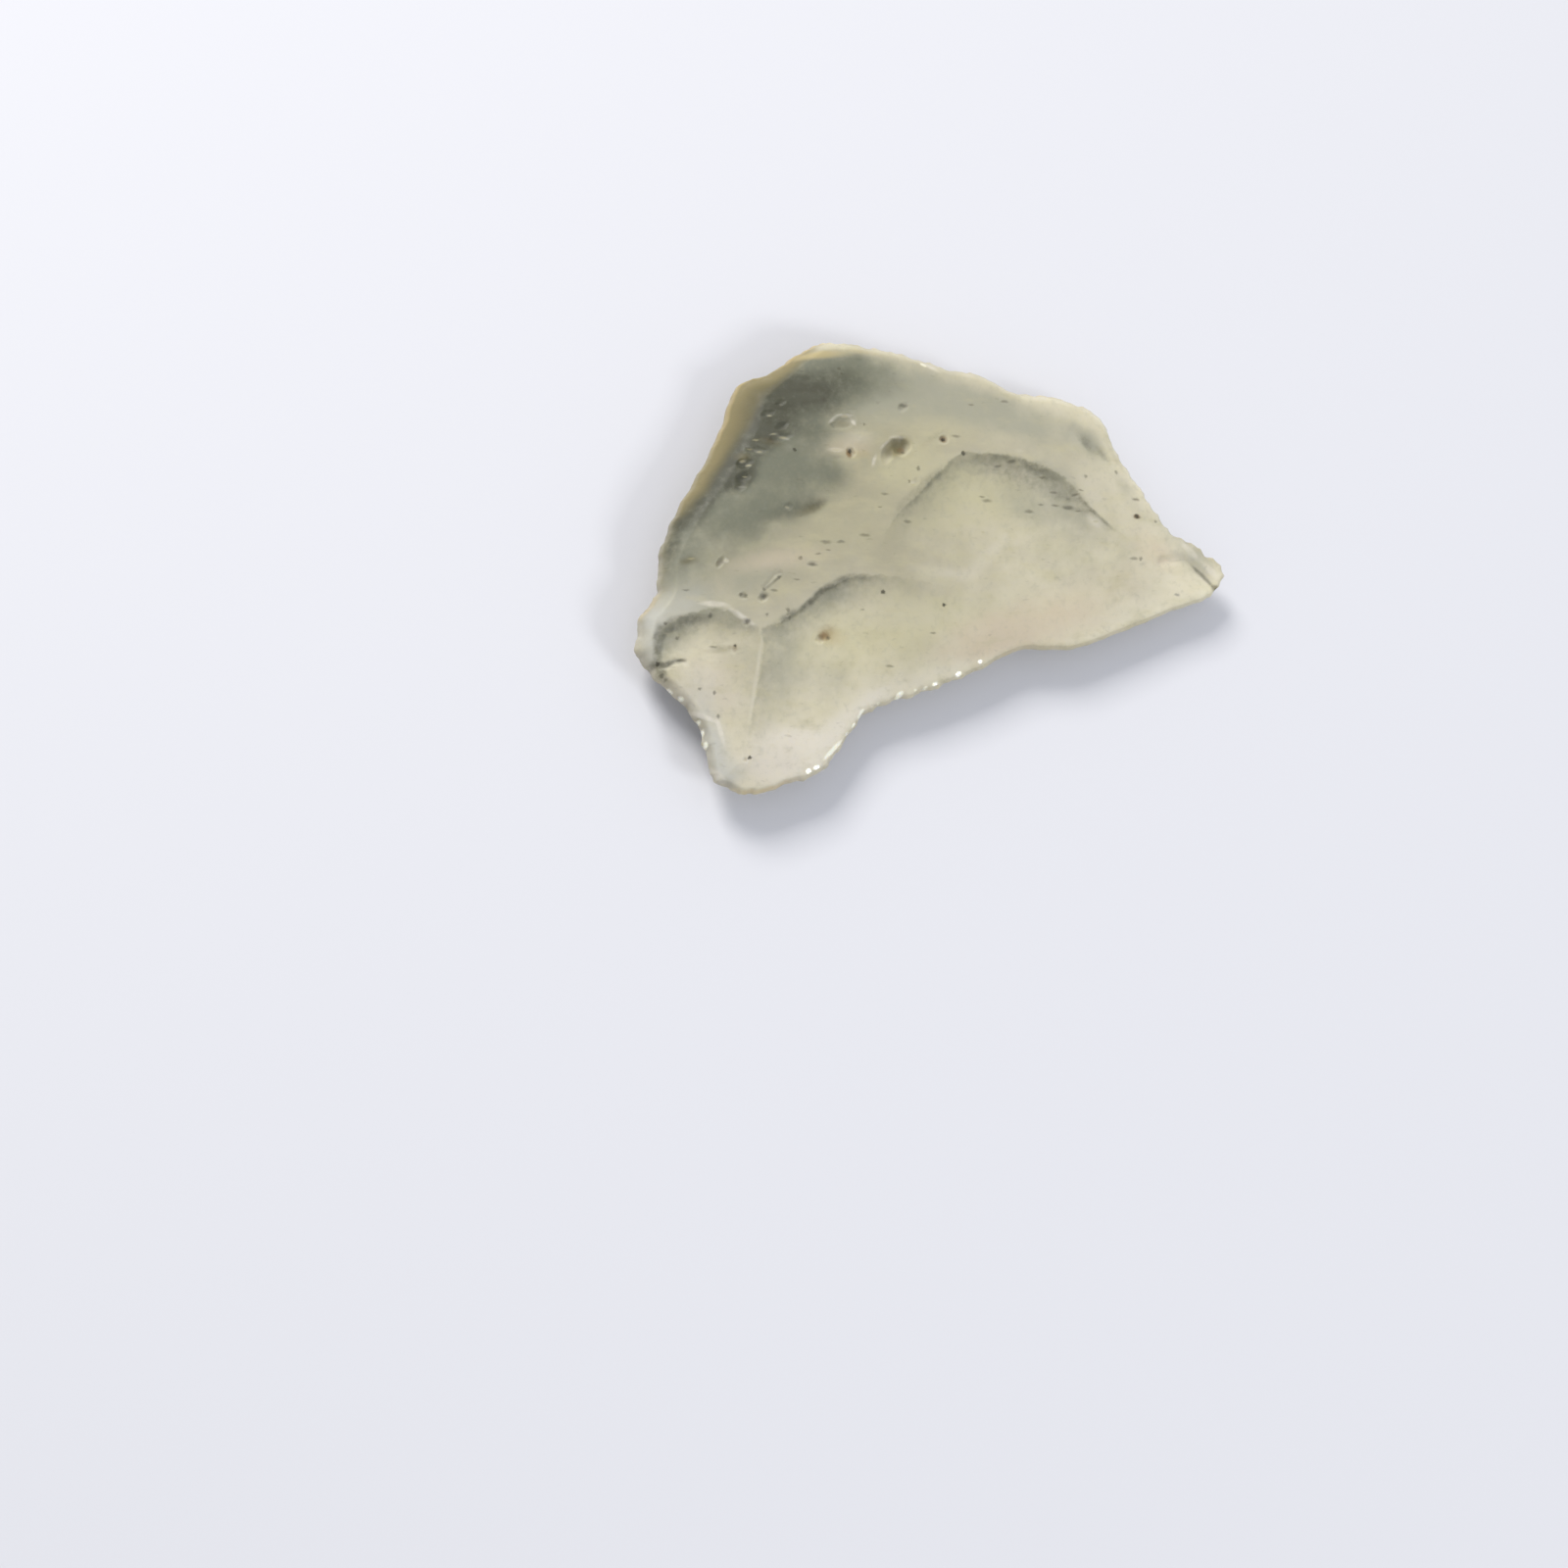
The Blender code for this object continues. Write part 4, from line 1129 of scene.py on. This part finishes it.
def smoked_and_shaded(glass, colour):
    """The grey-green corner and darkest places, partly the glass's tone, partly painted shade."""
    smoke_and_shade = glass.zone("smoky_and_shaded", glass.cloud) * (0.75 + glass.grain * 0.4)
    colour = smoke_and_shade.blend(colour, SMOKE_AND_SHADE)
    colour = (glass.grain.ramp(0.5, 0.75) * 0.22).blend(colour, GREY)
    # The darkest places are painted shade
    darkest = glass.zone("darkest", glass.grain) * (0.7 + glass.streak * 0.5)
    return darkest.blend(colour, DEEP_SMOKE_AND_SHADE)


def scar_shade_and_light(glass, colour):
    """Painted shade on walls inside the crests and painted light on shoulders outside them."""
    wall = glass.mask("wall") * (glass.grain.ramp(0.3, 0.65) * 0.5 + 0.1)
    colour = wall.blend(colour, WALL_GREY)
    colour = (glass.mask("shoulder") * 0.12).blend(colour, PALE)
    shade = glass.zone("shade", glass.grain) * (glass.grain * 0.5 + glass.fine * 0.4 + 0.2)
    return shade.blend(colour, WALL_SHADE)


def edged(glass, colour):
    """Worn edge, olive, warm and stained marks, painted highlights, and painted light at the rim.
    """
    worn = (glass.mask("worn edge") * 1.8 + glass.cloud * 0.3 - glass.from_rim).ramp(-0.3, 0.7)
    colour = (worn * 0.95).blend(colour, OLIVE)
    colour = (worn * glass.from_rim.ramp(1.1, 0.1) * 0.3).blend(colour, WARM)
    colour = (glass.zone("olive", glass.cloud) * 0.85).blend(colour, OLIVE)
    colour = (glass.zone("warm", glass.cloud) * 0.7).blend(colour, WARM)
    # Painted highlights on crests and pit lips
    colour = (glass.zone("crest_highlight", glass.grain) * (0.3 + glass.fine * 0.6)).blend(colour, PALE)
    # Painted light along the rim; the warm line is partly thin glass's tone, partly painted light
    colour = (glass.from_rim.ramp(0.18, 0.02) * 0.15).blend(colour, PALE)
    line = glass.from_rim.ramp(0.22, 0.10) * glass.mask("warm edge") * glass.upper.ramp(0.7, 1.0)
    colour = (line * 0.6).blend(colour, WARM_LINE)
    return (glass.zone("stain", glass.grain) * 0.75).blend(colour, STAIN)


def specked(glass, colour):
    """Faint specks along the flow, painted glints at pits, and the stone's own dashes and dots.
    """
    faint = noise_at(glass.flow, 4.0, 1.0).ramp(0.66, 0.74) * glass.cloud.ramp(0.45, 0.6) * 0.15
    colour = faint.blend(colour, SPECK)
    above = glass.upper.ramp(0.4, 0.6)
    for places, spots, stretch, outer, inner, strength, over in (
            (glass.flow, PIT_GLINTS, DASH_STRETCH, 1.5, 0.2, 0.5, PIT_GLINT),
            (glass.flow, DARK_DASHES, DASH_STRETCH, 1.4, 0.3, 0.45, SPECK),
            (glass.ragged, DARK_DOTS, 1, 1.5, 0.4, 0.5, SPECK),
            (glass.ragged, STRONG_DOTS, 1, 1.35, 0.5, 0.85, SPECK)):
        marks = closest(places, spots, stretch).ramp(outer, inner) * above
        colour = (marks * strength).blend(colour, over)
    return colour


print("five layers of colour")

# %% Glass
# The skin's bump, its distance in metres, and what is the same all over the glass
SKIN_BUMP = {"Strength": 0.3, "Distance": 0.00004}
GLASS_VALUES = {
    "IOR": 1.46, "Transmission Weight": 0.2, "Subsurface Weight": 0.8,
    "Subsurface Radius": (1.0, 0.92, 0.68), "Subsurface Scale": 0.0008,
}


def make_glass():
    material = bpy.data.materials.new("desert_glass")
    material.use_nodes = True
    tree = material.node_tree
    shader = tree.nodes["Principled BSDF"]
    glass = Patterns(Wire(tree))
    colour = body_colour(glass)
    for layer in (smoked_and_shaded, scar_shade_and_light, edged, specked):
        colour = layer(glass, colour)
    glints = glass.zone("glint", glass.fine) * glass.from_rim.ramp(0.65, 0.4)
    glints = glints * glass.upper.ramp(0.85, 1.0)
    colour = (glints * 0.9).blend(colour, GLINT)

    shine = glass.from_rim.ramp(0.6, 0.1) * noise_at(glass.place, 1.6, 3.0).ramp(0.45, 0.65)
    roughness = 0.52 + glass.grain * 0.12 - shine * 0.2 - glints * 0.45
    skin = noise_at(glass.place, 9.0, 3.0) * 0.6 + glass.streak + glass.fine * 0.5
    bump = glass.place.add("Bump", None, {**SKIN_BUMP, "Height": skin})
    for name, wire in (("Base Color", colour), ("Roughness", roughness), ("Normal", bump)):
        tree.links.new(wire.socket, shader.inputs[name])
    for name, value in GLASS_VALUES.items():
        shader.inputs[name].default_value = value
    print(len(tree.nodes), "nodes in the glass")
    return material


stone.data.materials.append(make_glass())

# %% [markdown]
# ## Table and light
#
# The stone lies on a plain pale table. One large soft lamp stands on the high side of the
# picture, which draws the crests and walls of the scars as in the photograph. A weak one fills
# from the opposite side, and the room adds an even glow.

# %% Table
TABLE_COLOUR = rgb(202, 202, 206)
TABLE_ROUGHNESS = 0.7
TABLE_SQUARES = 4

# How far it reaches to each side in m, and how far it lies under the stone in mm
TABLE_REACH = 1.2
TABLE_GAP = 0.02


def make_table():
    work = bmesh.new()
    bmesh.ops.create_grid(
        work, x_segments=TABLE_SQUARES, y_segments=TABLE_SQUARES, size=TABLE_REACH)
    bmesh.ops.translate(work, verts=work.verts, vec=(0, 0, -TABLE_GAP * MM))
    mesh = bpy.data.meshes.new("table")
    work.to_mesh(mesh)
    work.free()
    material = bpy.data.materials.new("table")
    material.use_nodes = True
    shader = material.node_tree.nodes["Principled BSDF"]
    shader.inputs["Base Color"].default_value = TABLE_COLOUR
    shader.inputs["Roughness"].default_value = TABLE_ROUGHNESS
    mesh.materials.append(material)
    table = bpy.data.objects.new("table", mesh)
    bpy.context.scene.collection.objects.link(table)


make_table()
print("table reaches", TABLE_REACH, "m to each side")

# %% Light
# Each lamp's direction in the picture (right, up, to the viewer), size in m, watts and colour
LAMPS = {
    "key lamp": ((-0.28, 0.75, 0.60), 0.14, 1.58, (1.0, 0.98, 0.95)),
    "fill lamp": ((0.76, -0.34, 0.55), 0.10, 0.5, (0.96, 0.98, 1.0)),
}
LAMP_DISTANCE = 0.40
ROOM_COLOUR = (0.9, 0.93, 1.0, 1.0)
ROOM_STRENGTH = 0.69


def make_lamp(name, towards, size, watts, colour):
    """A square soft lamp that faces the stone."""
    data = bpy.data.lights.new(name, "AREA")
    data.size = size
    data.energy = watts
    data.color = colour
    lamp = bpy.data.objects.new(name, data)
    bpy.context.scene.collection.objects.link(lamp)
    direction = (camera_turn @ Vector(towards)).normalized()
    lamp.location = direction * LAMP_DISTANCE
    lamp.rotation_euler = direction.to_track_quat("Z", "Y").to_euler()


def make_room():
    world = bpy.data.worlds.new("room")
    world.use_nodes = True
    background = world.node_tree.nodes["Background"]
    background.inputs["Color"].default_value = ROOM_COLOUR
    background.inputs["Strength"].default_value = ROOM_STRENGTH
    bpy.context.scene.world = world
    bpy.context.scene.view_settings.view_transform = "Standard"


for name, lamp in LAMPS.items():
    make_lamp(name, *lamp)
make_room()
print(len(LAMPS), "lamps and the room's glow")
